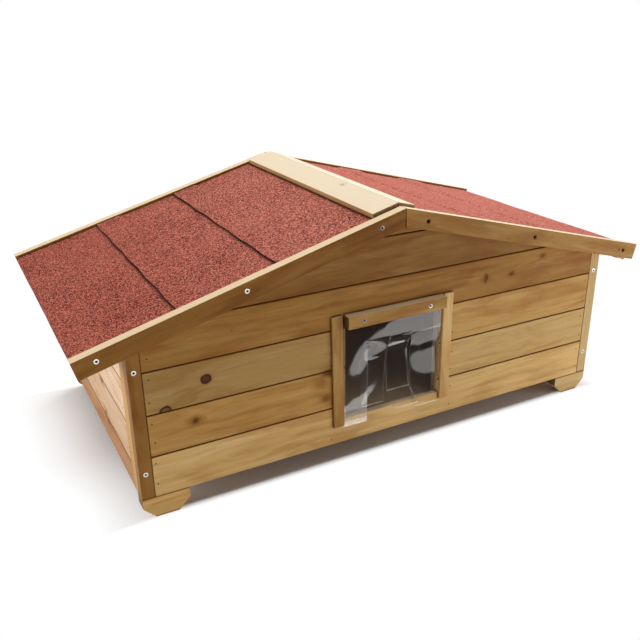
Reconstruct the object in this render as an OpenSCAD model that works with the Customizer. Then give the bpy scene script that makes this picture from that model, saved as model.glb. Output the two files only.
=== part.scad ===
// Outdoor cat house: a low gabled timber house on four feet, boarded in tongue and groove,
// with a felted roof that lifts off and a doorway hung with a slit sheet of clear plastic.
// Millimetres. The origin is on the ground under the middle of the house, +X runs to the
// right along the gabled front wall, +Y runs to the back and +Z is up.

/* [House] */
// Width of the front wall over its corner stiles
body_w = 900; // [860:5:980]
// Depth of the house from its front face to its back face
body_d = 500; // [440:5:600]
// Height of the last board of the front wall under the ridge
last_board_h = 25.6; // [18:0.2:50]
// Pitch of the roof in degrees
pitch = 14.95; // [14:0.05:16]

/* [Boards] */
// Height that each board covers
board_cover = 70.2; // [67:0.2:71]
// Thickness of a board
board_t = 12; // [10:0.5:14]
// Height of the ripped bottom board in the two side walls
side_rip_h = 44.6; // [35:0.2:60]
// Width of the open shadow line between two boards
seam_gap = 1.6; // [0.6:0.1:2.5]
// Chamfer along the face edges of a board
seam_chamfer = 1; // [0.3:0.1:1.5]
// Thickness of the tongue
tongue_t = 4; // [3:0.2:5]
// Height of the tongue
tongue_h = 5; // [3:0.5:7]
// Clearance round the tongue in its groove
tongue_fit = 0.15; // [0.05:0.05:0.4]
// Gap between the end of a board and the stile beside it
board_end_gap = 1; // [0.4:0.1:2]
// Play between the shoulders of two boards, behind the tongue
shoulder_gap = 0.2; // [0.1:0.05:0.5]

/* [Frame battens] */
// Width of the corner stiles of the front and back walls
stile_w = 20; // [16:1:26]
// Depth of the corner stiles of the front and back walls
stile_d = 20; // [18:1:26]
// Width of the end stiles of the side walls
side_stile_w = 25; // [20:1:32]
// Thickness of the end stiles of the side walls
side_stile_t = 20; // [18:1:24]
// Width of the battens that the boards are nailed to
batten_w = 30; // [24:1:36]
// Thickness of the battens that the boards are nailed to
batten_t = 20; // [14:1:24]
// Height of the jamb battens above the header
jamb_over = 14; // [5:1:40]
// Set-back of the jamb battens from the edges of the doorway
jamb_setback = 6; // [2:1:12]

/* [Floor and feet] */
// Height of the floor bearers
bearer_h = 20; // [15:1:22]
// Thickness of the floor panel
floor_t = 9; // [6:1:12]
// Clearance round the floor panel
floor_fit = 1; // [0.5:0.5:3]
// Length of a foot along the front wall
foot_l = 75; // [60:1:100]
// Depth of a foot
foot_d = 25; // [22:1:40]
// Height of a foot
foot_h = 36; // [28:1:50]
// Chamfer on the two lower corners of a foot
foot_chamfer = 19; // [8:1:22]

/* [Doorway] */
// Width of the doorway
door_w = 189; // [170:1:200]
// Distance of the doorway's middle from the middle of the front wall
door_x = -3.5; // [-20:0.5:20]
// Height of the sill above the bottom of the front wall
door_sill = 44; // [36:1:50]
// Width of the two upright door trims
trim_w = 19; // [16:1:24]
// Thickness of the two upright door trims
trim_t = 5; // [4:0.5:8]
// Lean of the left trim to the left, in degrees
trim_lean = 0.9; // [0:0.1:1.5]
// Height of the lower ends of the trims above the bottom of the front wall
trim_z = 33; // [28:1:36]
// Distance from the left edge of the doorway to the left trim
left_reveal = 4; // [2:0.5:8]
// Distance from the right edge of the doorway to the right trim
right_reveal = 0.5; // [0:0.5:4]
// Height of the header batten over the doorway
header_h = 21; // [17:1:24]
// Thickness of the header batten over the doorway
header_t = 16; // [10:1:20]
// Gap between the header and the foot of the left trim's inner edge
header_gap_left = 1; // [0.5:0.5:4]
// Gap between the header and the right trim
header_gap_right = 3.5; // [0.5:0.5:6]
// Distance from the top of the doorway to the header
header_lift = 2; // [1:0.5:4]

/* [Plastic curtain] */
// Thickness of the clear sheet
sheet_t = 1; // [0.8:0.1:1.5]
// Gap between the sheet and the trim on each side
sheet_gap = 0.7; // [0.4:0.1:2]
// Height of the sheet's lower edge above the bottom of the front wall
sheet_z = 28; // [24:1:31]
// Height of uncut sheet below the top of the doorway
slit_drop = 32; // [20:1:45]
// Height of the part of the sheet that the header clamps
clamp_h = 16; // [12:1:17]
// Width of a slit
slit_w = 0.6; // [0.4:0.1:1.5]
// Width of the first strip from the left
strip_1_w = 45.5; // [38:0.5:50]
// Width of the second strip
strip_2_w = 43.5; // [38:0.5:50]
// Width of the third strip
strip_3_w = 42; // [38:0.5:50]
// How far the second strip, which stands on the sill, bellies inwards
belly_2 = 26; // [8:1:26]
// How far the third strip bellies inwards above the sill
belly_3 = 20; // [4:1:22]
// How far the lower edge of the third strip is kicked outwards
kick_3 = 19; // [8:1:30]
// How far the fourth strip bellies inwards
belly_4 = 8; // [3:1:12]
// Height of the fourth strip's lower edge above that of the first
lift_4 = 1.5; // [0:0.5:4]

/* [Roof] */
// Overhang of the roof beyond each side wall
eave_overhang = 75.7; // [62:0.1:100]
// Height of a barge board
barge_h = 29; // [27:0.5:36]
// Thickness of a barge board
barge_t = 17; // [14:1:24]
// Width of the open joint between two barge boards at the top
mitre_top = 0.6; // [0.2:0.1:2]
// Width of the open joint between two barge boards at the bottom
mitre_bottom = 2.4; // [0.4:0.1:4]
// Thickness of a roof panel
deck_t = 12; // [10:0.5:15]
// Height of the barge boards above the roof panels
barge_lip = 7; // [5.5:0.5:9]
// Play between the barge boards and the walls that they hook over
roof_play = 1; // [0.5:0.5:3]
// Gap between the tops of the walls and the roof panels
seat_gap = 0.2; // [0.1:0.1:0.5]
// Width of the battens under the eaves
eave_w = 20; // [15:1:30]
// Height of the battens under the eaves
eave_h = 15; // [12:1:20]
// Width of the batten under the ridge
ridge_w = 30; // [24:1:40]
// Height of the batten under the ridge
ridge_batten_h = 25; // [20:1:32]
// Width of the left board of the ridge cap
cap_left_w = 48; // [38:1:60]
// Width of the right board of the ridge cap
cap_right_w = 31; // [26:1:60]
// Thickness of the boards of the ridge cap
cap_t = 9; // [6:0.5:12]
// Gap between the ends of the ridge cap and the barge boards
cap_end_gap = 5; // [2:0.5:10]

/* [Roofing felt] */
// Thickness of the felt
felt_t = 2.5; // [1.5:0.1:2.7]
// Height of felt that shows in the course at the eaves
course_1 = 160.5; // [140:0.5:175]
// Height of felt that shows in the middle course
course_2 = 162.5; // [140:0.5:175]
// Width of the lap of one course over the next
felt_lap = 45; // [30:1:60]
// Length over which a course steps down from the course below
felt_ramp = 8; // [4:1:15]
// Play between two layers of the roof where they lie on each other
lay = 0.05; // [0.02:0.01:0.1]
// Depth of the felt folded down at the eaves, below the top of the roof panel
felt_drip = 29; // [27.5:0.5:36]

/* [Screws] */
// Diameter of the shank of a screw
screw_d = 3.5; // [3:0.1:4]
// Diameter of the head of a screw
head_d = 7.5; // [6:0.1:8]
// Clearance of a screw in its hole
screw_fit = 0.1; // [0.05:0.05:0.2]
// Length of the screws that hold the barge boards
barge_screw_len = 33; // [30:1:45]
// Depth of those screws below the top of a left barge board
screw_drop_left = 13.5; // [11:0.5:15]
// Depth of those screws below the top of a right barge board
screw_drop_right = 15; // [11:0.5:16]
// Distance of the upper screws from the ridge along the slope
screw_near = 48; // [30:1:60]
// Distance of the middle screws from the ridge along the slope
screw_mid = 282; // [240:1:300]
// Distance of the lower screws from the lower end of a barge board
screw_far = 32; // [28:1:60]
// Diameter of the unused pilot hole in the right-hand front barge board
pilot_d = 3; // [2:0.2:3.6]
// Depth of that hole
pilot_depth = 10; // [5:1:15]
// Distance of that hole from the lower screw, up the slope
pilot_from_screw = 12; // [9:1:30]
// Length of the screws through the corner stiles
corner_screw_len = 38; // [32:1:42]
// Height of the lower corner screws above the bottom of the walls
corner_low = 43; // [35:1:60]
// Height of the upper corner screws above the bottom of the walls
corner_high = 213; // [180:1:225]
// Distance of the left header screw from the left end of the header
header_screw_left = 29; // [15:1:60]
// Distance of the right header screw from the right end of the header
header_screw_right = 33; // [15:1:60]
// Length of the screws up through the feet
foot_screw_len = 62; // [55:1:75]
// Depth of the heads of those screws inside the feet
foot_screw_recess = 1; // [0.5:0.5:4]

/* [Hidden] */
$fn = 32;
base = foot_h;
front = -body_d / 2;
half_w = body_w / 2;
half_d = body_d / 2;
cp = cos(pitch);
sp = sin(pitch);
tp = tan(pitch);
under_drop = barge_lip + deck_t;
last_board = 6;
gable_h = (last_board - 1) * board_cover + last_board_h;
ridge_z = base + gable_h + seat_gap + under_drop / cp;
barge_len = (half_w + eave_overhang) / cp;
inner_x = half_w - stile_w;
board_half = inner_x - board_end_gap;
batten_face = half_d - board_t - batten_t;
side_last = 4;
tongue_y = (board_t - tongue_t) / 2;
groove_spare = 0.5;
door_left = door_x - door_w / 2;
door_right = door_x + door_w / 2;
door_top = 3 * board_cover;
slit_top = door_top - slit_drop;
sheet_left = door_left - left_reveal + sheet_gap;
sheet_right = door_right + right_reveal - sheet_gap;
sheet_back = 0.3;
slit_1 = sheet_left + strip_1_w;
slit_2 = slit_1 + strip_2_w;
slit_3 = slit_2 + strip_3_w;
header_z = base + door_top + header_lift;
trim_len = header_z + header_h - base - trim_z;
jamb_h = header_z + header_h + jamb_over - base - bearer_h;
header_left = door_left - left_reveal + header_gap_left;
header_right = door_right + right_reveal - header_gap_right;
header_face = front - sheet_t - header_t;
header_screw_len = header_t + sheet_t + board_t - 0.5;
barge_back = half_d + roof_play;
deck_len = barge_len - felt_t - 0.5;
felt_edge_gap = 0.5;
lap_1 = deck_len + felt_t - course_1;
lap_2 = lap_1 - course_2;
head_rim = 0.4;
head_h = head_rim + (head_d - screw_d) / 2;
tip_h = 5;
foot_screw_y = half_d - board_t - (foot_d - board_t) / 2;
strip_steps = 20;
joint_gap = 0.3;

HONEY = [0.66, 0.49, 0.27];
OLIVE = [0.60, 0.47, 0.26];
PALE = [0.80, 0.68, 0.47];
INNER = [0.52, 0.38, 0.22];
FELT = [0.55, 0.22, 0.19];
STEEL = [0.75, 0.76, 0.78];
CLEAR = [0.80, 0.86, 0.90, 0.45];

// Height of the underside of the roof panels over a point at distance x from the ridge
function under_roof(x) = ridge_z - under_drop / cp - abs(x) * tp;

// Height of the tops of the walls there, just clear of the panels that rest on them
function wall_top(x) = under_roof(x) - seat_gap;

// A point of the right slope, s along the slope from the ridge and h above the barge line
function on_slope(s, h) = [s * cp + h * sp, ridge_z - s * sp + h * cp];

// The point of that line, h above the barge line, straight over the ridge
function at_ridge(h) = [0, ridge_z + h / cp];

// A shape drawn in X and Z, made solid from y0 to y1
module along_y(y0, y1) {
    translate([0, y1, 0]) rotate([90, 0, 0]) linear_extrude(y1 - y0) children();
}

// A shape drawn in Y and Z, made solid from x0 to x1
module along_x(x0, x1) {
    translate([x0, 0, 0]) rotate([90, 0, 90]) linear_extrude(x1 - x0) children();
}

// The wall area under the roof slopes, between x0 and x1, above z0, less a strip of height cut
module under_slopes(x0, x1, z0, cut = 0) {
    ridge_point = x0 < 0 && x1 > 0 ? [[0, wall_top(0) - cut]] : [];
    polygon(concat(
        [[x0, z0], [x1, z0], [x1, wall_top(x1) - cut]],
        ridge_point,
        [[x0, wall_top(x0) - cut]]
    ));
}

// Cross-section of a tongue and groove board, its face at 0 and its back at board_t
module board_profile(cover, groove = true, tongue = true) {
    lower = groove ? [
        [board_t, 0],
        [tongue_y + tongue_t + tongue_fit, 0],
        [tongue_y + tongue_t + tongue_fit, tongue_h + groove_spare],
        [tongue_y - tongue_fit, tongue_h + groove_spare],
        [tongue_y - tongue_fit, 0],
        [seam_chamfer, 0],
        [0, seam_chamfer]
    ] : [[board_t, 0], [0, 0]];
    upper = tongue ? [
        [0, cover - seam_gap - seam_chamfer],
        [seam_chamfer, cover - seam_gap],
        [tongue_y, cover - seam_gap],
        [tongue_y, cover + tongue_h],
        [tongue_y + tongue_t, cover + tongue_h],
        [tongue_y + tongue_t, cover - shoulder_gap],
        [board_t, cover - shoulder_gap]
    ] : [[0, cover], [board_t, cover]];
    polygon(concat(lower, upper));
}

// Board number n of the gabled front wall, from x0 to x1, before its corners are cut
module square_board(n, x0, x1) {
    top = n == last_board;
    z0 = base + (n - 1) * board_cover;
    cover = top ? wall_top(0) - z0 : board_cover;
    along_x(x0, x1) translate([front, z0]) board_profile(cover, n > 1, !top);
}

// The space of the front wall's boards from x0 to x1, below the slopes of the roof
module gable_space(x0, x1) {
    along_y(front - 1, front + board_t + 1) under_slopes(x0, x1, base - 1);
}

// The same board cut to the slopes
module gable_board(n, x0 = -board_half, x1 = board_half) {
    intersection() {
        square_board(n, x0, x1);
        gable_space(x0, x1);
    }
}

// A stile or batten standing in the front wall from x0 to x1, its top cut to the slope
module upright(x0, x1, y0, y1, z0, cut = 0) {
    along_y(y0, y1) under_slopes(x0, x1, z0, cut);
}

// The batten along the left slope of the front gable, behind the boards
module rake_batten() {
    drop = batten_w / cp;
    along_y(front + board_t, front + board_t + batten_t)
        polygon([
            [-inner_x, wall_top(inner_x) - drop],
            [-joint_gap, wall_top(joint_gap) - drop],
            [-joint_gap, wall_top(joint_gap)],
            [-inner_x, wall_top(inner_x)]
        ]);
}

// Lower edge of board number n of a side wall, above the bottom of the walls
function side_seam(n) = n == 1 ? 0 : side_rip_h + (n - 2) * board_cover;

// Board number n of the left wall, its top edge bevelled under the roof in the last one
module side_board(n) {
    top = n == side_last;
    z0 = base + side_seam(n);
    cover = top ? wall_top(half_w - board_t) - z0 : side_seam(n + 1) - side_seam(n);
    reach = half_d - stile_d - side_stile_w - board_end_gap;
    intersection() {
        along_y(-reach, reach)
            translate([-half_w, z0]) board_profile(cover, n > 1, !top);
        along_y(-reach - 1, reach + 1)
            under_slopes(-half_w - 1, -half_w + board_t + 1, z0 - 1);
    }
}

// The two end stiles of the left wall
module side_stiles() {
    y1 = half_d - stile_d;
    for (m = [0, 1]) mirror([0, m, 0]) difference() {
        upright(-half_w, -half_w + side_stile_t, -y1, -y1 + side_stile_w, base);
        corner_holes();
    }
}

// The two battens behind the ends of the left wall's boards
module side_battens() {
    y1 = half_d - stile_d - side_stile_w;
    x0 = -half_w + board_t;
    for (m = [0, 1]) mirror([0, m, 0])
        upright(x0, x0 + batten_t, -y1, -y1 + batten_w, base);
}

// A countersunk screw, its head's face at 0 and its point at length len
module screw(len) {
    rotate_extrude()
        polygon([
            [0, 0],
            [head_d / 2, 0],
            [head_d / 2, head_rim],
            [screw_d / 2, head_h],
            [screw_d / 2, len - tip_h],
            [0.3, len],
            [0, len]
        ]);
}

// The hole that such a screw sits in, open past its head
module screw_hole(len) {
    rotate_extrude()
        polygon([
            [0, -5],
            [head_d / 2 + screw_fit, -5],
            [head_d / 2 + screw_fit, head_rim + screw_fit],
            [screw_d / 2 + screw_fit, head_h + screw_fit],
            [screw_d / 2 + screw_fit, len + screw_fit],
            [0, len + screw_fit]
        ]);
}

// Places its children at the screws of the front barge board on one side, side being 1 or -1
module at_barge_screws(side) {
    drop = side < 0 ? screw_drop_left : screw_drop_right;
    for (s = [screw_near, screw_mid, barge_len - screw_far]) {
        p = on_slope(s, -drop);
        translate([side * p[0], -barge_back - barge_t, p[1]]) rotate([-90, 0, 0]) children();
    }
}

// The hole beside the lower screw of the right-hand front barge board, drilled and left empty
module pilot_hole() {
    p = on_slope(barge_len - screw_far - pilot_from_screw, -screw_drop_right);
    translate([p[0], -barge_back - barge_t, p[1]]) rotate([-90, 0, 0])
        translate([0, 0, -1]) cylinder(d = pilot_d, h = pilot_depth + 1);
}

// Places its children at the two screws of the front left corner
module at_corner_screws() {
    for (z = [corner_low, corner_high])
        translate([-half_w + stile_w / 2, front, base + z]) rotate([-90, 0, 0]) children();
}

// The holes of those two screws
module corner_holes() {
    at_corner_screws() screw_hole(corner_screw_len);
}

// Places its children at the two screws of the header
module at_header_screws() {
    for (x = [header_left + header_screw_left, header_right - header_screw_right])
        translate([x, header_face, header_z + header_h / 2]) rotate([-90, 0, 0]) children();
}

// The holes of those two screws
module header_holes() {
    at_header_screws() screw_hole(header_screw_len);
}

// The place of the screw up through the front left foot
module at_foot_screw() {
    translate([-inner_x + batten_w / 2, -foot_screw_y, foot_screw_recess]) children();
}

// Front left corner stile of the front wall
module corner_stile() {
    difference() {
        upright(-half_w, -inner_x, front, front + stile_d, base);
        corner_holes();
    }
}

// Batten behind the ends of the front boards, beside the left stile
module corner_batten() {
    difference() {
        upright(
            -inner_x, -inner_x + batten_w, front + board_t, front + board_t + batten_t, base,
            batten_w / cp
        );
        at_foot_screw() screw_hole(foot_screw_len);
    }
}

// Front left foot, a block with its two lower corners cut off
module foot() {
    difference() {
        along_y(front, front + foot_d)
            polygon([
                [-half_w, base],
                [-half_w, foot_chamfer],
                [-half_w + foot_chamfer, 0],
                [-half_w + foot_l - foot_chamfer, 0],
                [-half_w + foot_l, foot_chamfer],
                [-half_w + foot_l, base]
            ]);
        at_foot_screw() screw_hole(foot_screw_len);
    }
}

// One half of the board under the door, which is notched to make the sill
module sill_notch() {
    translate([door_left, front - 1, base + door_sill])
        cube([door_w, board_t + 2, board_cover]);
}

// Floor panel, notched round every upright batten
module floor_shape() {
    clear = floor_fit;
    side_x = half_w - board_t - clear;
    end_y = half_d - board_t - clear;
    stile_y = half_d - stile_d - side_stile_w;
    difference() {
        translate([-side_x, -end_y]) square([2 * side_x, 2 * end_y]);
        for (mx = [0, 1], my = [0, 1]) mirror([mx, 0]) mirror([0, my]) {
            translate([inner_x - batten_w - clear, batten_face - clear])
                square([half_w, half_d]);
            translate([half_w - side_stile_t - clear, stile_y - clear])
                square([half_w, half_d]);
            translate([half_w - board_t - batten_t - clear, stile_y - batten_w - clear])
                square([half_w, batten_w + 2 * clear]);
        }
        for (x = jamb_lefts())
            translate([x - clear, -half_d]) square([batten_w + 2 * clear, half_d - batten_face + clear]);
    }
}

// Left edges of the two jamb battens
function jamb_lefts() = [door_left - jamb_setback - batten_w, door_right + jamb_setback];

// A right roof panel, cut plumb at the ridge and square at the eave
module deck_shape() {
    polygon([
        at_ridge(-barge_lip),
        on_slope(deck_len, -barge_lip),
        on_slope(deck_len, -under_drop),
        at_ridge(-under_drop)
    ]);
}

// A right barge board, cut plumb at the ridge and square at the eave
module barge_shape() {
    top_x = mitre_top / 2;
    bottom_x = mitre_bottom / 2;
    polygon([
        [top_x, ridge_z - top_x * tp],
        on_slope(barge_len, 0),
        on_slope(barge_len, -barge_h),
        [bottom_x, ridge_z - barge_h / cp - bottom_x * tp]
    ]);
}

// A point of the right slope, h above the underside of the felt on the roof panel
function on_deck(s, h) = on_slope(s, h + lay - barge_lip);

// Felt at the right eave, folded down over the edge of the panel
module felt_eave_shape() {
    polygon([
        on_deck(lap_1 - felt_lap, 0),
        on_deck(deck_len + lay, 0),
        on_deck(deck_len + lay, -felt_drip),
        on_deck(deck_len + felt_t, -felt_drip),
        on_deck(deck_len + felt_t, felt_t),
        on_deck(lap_1 - felt_lap, felt_t)
    ]);
}

// Felt whose lower edge, at s, lies on the course below and then steps down to the panel
module felt_lap_shape(s, upper_bottom, upper_top) {
    polygon(concat(
        [
            on_deck(s, felt_t + lay),
            on_deck(s - felt_lap, felt_t + lay),
            on_deck(s - felt_lap - felt_ramp, 0)
        ],
        [upper_bottom, upper_top],
        [
            on_deck(s - felt_lap - felt_ramp, felt_t),
            on_deck(s - felt_lap, 2 * felt_t + lay),
            on_deck(s, 2 * felt_t + lay)
        ]
    ));
}

// The middle course, which runs up under the course at the ridge
module felt_middle_shape() {
    top_s = lap_2 - felt_lap;
    felt_lap_shape(lap_1, on_deck(top_s, 0), on_deck(top_s, felt_t));
}

// The course at the ridge
module felt_ridge_shape() {
    felt_lap_shape(lap_2, at_ridge(lay - barge_lip), at_ridge(felt_t + lay - barge_lip));
}

// A sheet of felt, made from its right-hand shape, on the side given by mirrored
module felt_course(mirrored) {
    reach = barge_back - felt_edge_gap;
    color(FELT) mirror([mirrored, 0, 0]) along_y(-reach, reach) children();
}

// A board of the ridge cap of the given width, on the felt of the right slope
module cap_shape(width) {
    low = felt_t + 2 * lay - barge_lip;
    polygon([
        at_ridge(low),
        on_slope(width, low),
        on_slope(width, low + cap_t),
        at_ridge(low + cap_t)
    ]);
}

// Roof panel with the holes of its barge screws at both ends
module roof_panel(side) {
    color(INNER) difference() {
        mirror([side < 0 ? 1 : 0, 0, 0]) along_y(-barge_back, barge_back) deck_shape();
        for (m = [0, 1]) mirror([0, m, 0]) at_barge_screws(side) screw_hole(barge_screw_len);
    }
}

// Front barge board of one side, with its screw holes
module barge_board(side) {
    color(HONEY) difference() {
        mirror([side < 0 ? 1 : 0, 0, 0])
            along_y(-barge_back - barge_t, -barge_back) barge_shape();
        at_barge_screws(side) screw_hole(barge_screw_len);
    }
}

// A board of the ridge cap, on the left slope where it is mirrored
module cap_board(mirrored, width) {
    reach = barge_back - cap_end_gap;
    color(PALE) mirror([mirrored, 0, 0]) along_y(-reach, reach) cap_shape(width);
}

// Cross-section of a strip of the curtain whose middle line runs through the points of path
module strip_profile(path) {
    last = len(path) - 1;
    normals = [
        for (i = [0:last])
            let (d = path[min(i + 1, last)] - path[max(i - 1, 0)], n = norm(d))
            [-d[1] / n, d[0] / n] * sheet_t / 2
    ];
    polygon(concat(
        [for (i = [0:last]) path[i] + normals[i]],
        [for (i = [last:-1:0]) path[i] - normals[i]]
    ));
}

// A strip between x0 and x1 that follows path, given as depth behind the wall's face and height
module strip(x0, x1, path) {
    color(CLEAR) along_x(x0, x1)
        translate([front - sheet_back - sheet_t / 2, base]) strip_profile(path);
}

// Depth and height of a strip at share t of its length, hanging from the slit to z_low
function hang(t, z_low, depth) = [depth, slit_top - sheet_back - t * (slit_top - sheet_back - z_low)];

// The share of a bow at share t of a strip that is flat again at share flat_t
function bow(t, flat_t) = t < flat_t ? pow(sin(180 * t / flat_t), 1.5) : 0;

// The third strip's depth: inwards at first, then out over the sill to its lower edge
function kick(t) = t < kick_t ? belly_3 * bow(t, kick_t) : -kick_out * pow((t - kick_t) / (1 - kick_t), 1.2);

kick_t = 0.72;
flat_t_4 = 0.86;
kick_z = door_sill + 3;
kick_out = min(kick_3, roof_play + barge_t - sheet_back - sheet_t - 0.2);
stand_y = sheet_back + sheet_t + 3;

// The points of a strip's middle line, straight or bowed as the four strips hang
function strip_shares() = [for (i = [0:strip_steps]) i / strip_steps];

path_1 = [hang(0, sheet_z, 0), hang(1, sheet_z, 0)];
path_2 = [
    for (t = strip_shares())
        hang(t, door_sill + sheet_back, belly_2 * bow(t, 1) + stand_y * t)
];
path_3 = [for (t = strip_shares()) hang(t, kick_z, kick(t))];
path_4 = [for (t = strip_shares()) hang(t, sheet_z + lift_4, belly_4 * bow(t, flat_t_4))];

module front_board_1() {
    color(OLIVE) difference() {
        gable_board(1);
        sill_notch();
    }
}

module front_board_2_left() {
    color(OLIVE) gable_board(2, -board_half, door_left);
}

module front_board_2_right() {
    color(OLIVE) gable_board(2, door_right, board_half);
}

module front_board_3_left() {
    color(HONEY) gable_board(3, -board_half, door_left);
}

module front_board_3_right() {
    color(HONEY) gable_board(3, door_right, board_half);
}

module front_board_4() {
    color(HONEY) difference() {
        gable_board(4);
        header_holes();
    }
}

module front_board_5() {
    color(HONEY) gable_board(5);
}

module front_board_6() {
    color(HONEY) gable_board(6);
}

module back_boards() {
    color(OLIVE) mirror([0, 1, 0]) intersection() {
        for (n = [1:last_board]) square_board(n, -board_half, board_half);
        gable_space(-board_half, board_half);
    }
}

module left_wall_board(n) {
    color(HONEY) side_board(n);
}

module right_wall_board(n) {
    color(HONEY) mirror([1, 0, 0]) side_board(n);
}

module front_left_stile() {
    color(HONEY) corner_stile();
}

module front_right_stile() {
    color(HONEY) mirror([1, 0, 0]) corner_stile();
}

module back_stiles() {
    color(HONEY) mirror([0, 1, 0]) for (m = [0, 1]) mirror([m, 0, 0]) corner_stile();
}

module left_wall_stiles() {
    color(HONEY) side_stiles();
}

module right_wall_stiles() {
    color(HONEY) mirror([1, 0, 0]) side_stiles();
}

module corner_battens() {
    color(INNER) for (mx = [0, 1], my = [0, 1])
        mirror([mx, 0, 0]) mirror([0, my, 0]) corner_batten();
}

module rake_battens() {
    color(INNER) for (mx = [0, 1], my = [0, 1])
        mirror([mx, 0, 0]) mirror([0, my, 0]) rake_batten();
}

module door_jamb_battens() {
    y0 = front + board_t;
    color(INNER) for (x = jamb_lefts())
        translate([x, y0, base + bearer_h]) cube([batten_w, batten_t, jamb_h]);
}

module side_wall_battens() {
    color(INNER) for (m = [0, 1]) mirror([m, 0, 0]) side_battens();
}

module floor_bearers() {
    end_x = inner_x - batten_w;
    side_y = half_d - stile_d - side_stile_w - batten_w;
    color(INNER) for (m = [0, 1]) {
        mirror([0, m, 0])
            translate([-end_x, -batten_face - batten_t, base]) cube([2 * end_x, batten_t, bearer_h]);
        mirror([m, 0, 0])
            translate([-half_w + board_t, -side_y, base]) cube([batten_t, 2 * side_y, bearer_h]);
    }
    middle_y = batten_face - joint_gap;
    color(INNER)
        translate([-batten_t / 2, -middle_y, base]) cube([batten_t, 2 * middle_y, bearer_h]);
}

module floor_panel() {
    color(INNER) translate([0, 0, base + bearer_h]) linear_extrude(floor_t) floor_shape();
}

module front_left_foot() {
    color(HONEY) foot();
}

module front_right_foot() {
    color(HONEY) mirror([1, 0, 0]) foot();
}

module back_left_foot() {
    color(HONEY) mirror([0, 1, 0]) foot();
}

module back_right_foot() {
    color(HONEY) mirror([0, 1, 0]) mirror([1, 0, 0]) foot();
}

module door_left_trim() {
    color(HONEY) translate([door_left - left_reveal, front - trim_t, base + trim_z])
        rotate([0, -trim_lean, 0]) translate([-trim_w, 0, 0]) cube([trim_w, trim_t, trim_len]);
}

module door_right_trim() {
    color(HONEY) translate([door_right + right_reveal, front - trim_t, base + trim_z])
        cube([trim_w, trim_t, trim_len]);
}

module door_header() {
    color(HONEY) difference() {
        translate([header_left, header_face, header_z])
            cube([header_right - header_left, header_t, header_h]);
        header_holes();
    }
}

module curtain_band() {
    color(CLEAR) difference() {
        translate([sheet_left, front - sheet_t, base + slit_top])
            cube([
                sheet_right - sheet_left,
                sheet_t,
                header_z - base - slit_top + clamp_h
            ]);
        header_holes();
    }
}

module curtain_strip_1() {
    strip(sheet_left, slit_1 - slit_w / 2, path_1);
}

module curtain_strip_2() {
    strip(slit_1 + slit_w / 2, slit_2 - slit_w / 2, path_2);
}

module curtain_strip_3() {
    strip(slit_2 + slit_w / 2, slit_3 - slit_w / 2, path_3);
}

module curtain_strip_4() {
    strip(slit_3 + slit_w / 2, sheet_right, path_4);
}

module ridge_batten() {
    reach = batten_face - 2 * roof_play;
    edge = ridge_w / 2;
    drop = lay / cp;
    color(INNER) along_y(-reach, reach)
        polygon([
            [-edge, under_roof(edge) - drop],
            [0, under_roof(0) - drop],
            [edge, under_roof(edge) - drop],
            [edge, under_roof(0) - ridge_batten_h],
            [-edge, under_roof(0) - ridge_batten_h]
        ]);
}

module eave_battens() {
    color(INNER) for (m = [0, 1]) mirror([m, 0, 0]) along_y(-barge_back, barge_back)
        polygon([
            on_slope(deck_len - eave_w, -under_drop - lay),
            on_slope(deck_len, -under_drop - lay),
            on_slope(deck_len, -under_drop - eave_h),
            on_slope(deck_len - eave_w, -under_drop - eave_h)
        ]);
}

module barge_screws() {
    color(STEEL) for (m = [0, 1], side = [-1, 1])
        mirror([0, m, 0]) at_barge_screws(side) screw(barge_screw_len);
}

module corner_screws() {
    color(STEEL) for (mx = [0, 1], my = [0, 1])
        mirror([mx, 0, 0]) mirror([0, my, 0]) at_corner_screws() screw(corner_screw_len);
}

module header_screws() {
    color(STEEL) at_header_screws() screw(header_screw_len);
}

module foot_screws() {
    color(STEEL) for (mx = [0, 1], my = [0, 1])
        mirror([mx, 0, 0]) mirror([0, my, 0]) at_foot_screw() screw(foot_screw_len);
}

module left_wall_board_1() {
    left_wall_board(1);
}

module left_wall_board_2() {
    left_wall_board(2);
}

module left_wall_board_3() {
    left_wall_board(3);
}

module left_wall_board_4() {
    left_wall_board(4);
}

module right_wall_board_1() {
    right_wall_board(1);
}

module right_wall_board_2() {
    right_wall_board(2);
}

module right_wall_board_3() {
    right_wall_board(3);
}

module right_wall_board_4() {
    right_wall_board(4);
}

module roof_panel_left() {
    roof_panel(-1);
}

module roof_panel_right() {
    roof_panel(1);
}

module felt_left_eave() {
    felt_course(1) felt_eave_shape();
}

module felt_left_middle() {
    felt_course(1) felt_middle_shape();
}

module felt_left_ridge() {
    felt_course(1) felt_ridge_shape();
}

module felt_right_eave() {
    felt_course(0) felt_eave_shape();
}

module felt_right_middle() {
    felt_course(0) felt_middle_shape();
}

module felt_right_ridge() {
    felt_course(0) felt_ridge_shape();
}

module barge_front_left() {
    barge_board(-1);
}

module barge_front_right() {
    color(HONEY) difference() {
        barge_board(1);
        pilot_hole();
    }
}

module barge_back_left() {
    mirror([0, 1, 0]) barge_board(-1);
}

module barge_back_right() {
    mirror([0, 1, 0]) barge_board(1);
}

module ridge_cap_left() {
    cap_board(1, cap_left_w);
}

module ridge_cap_right() {
    cap_board(0, cap_right_w);
}

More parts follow.
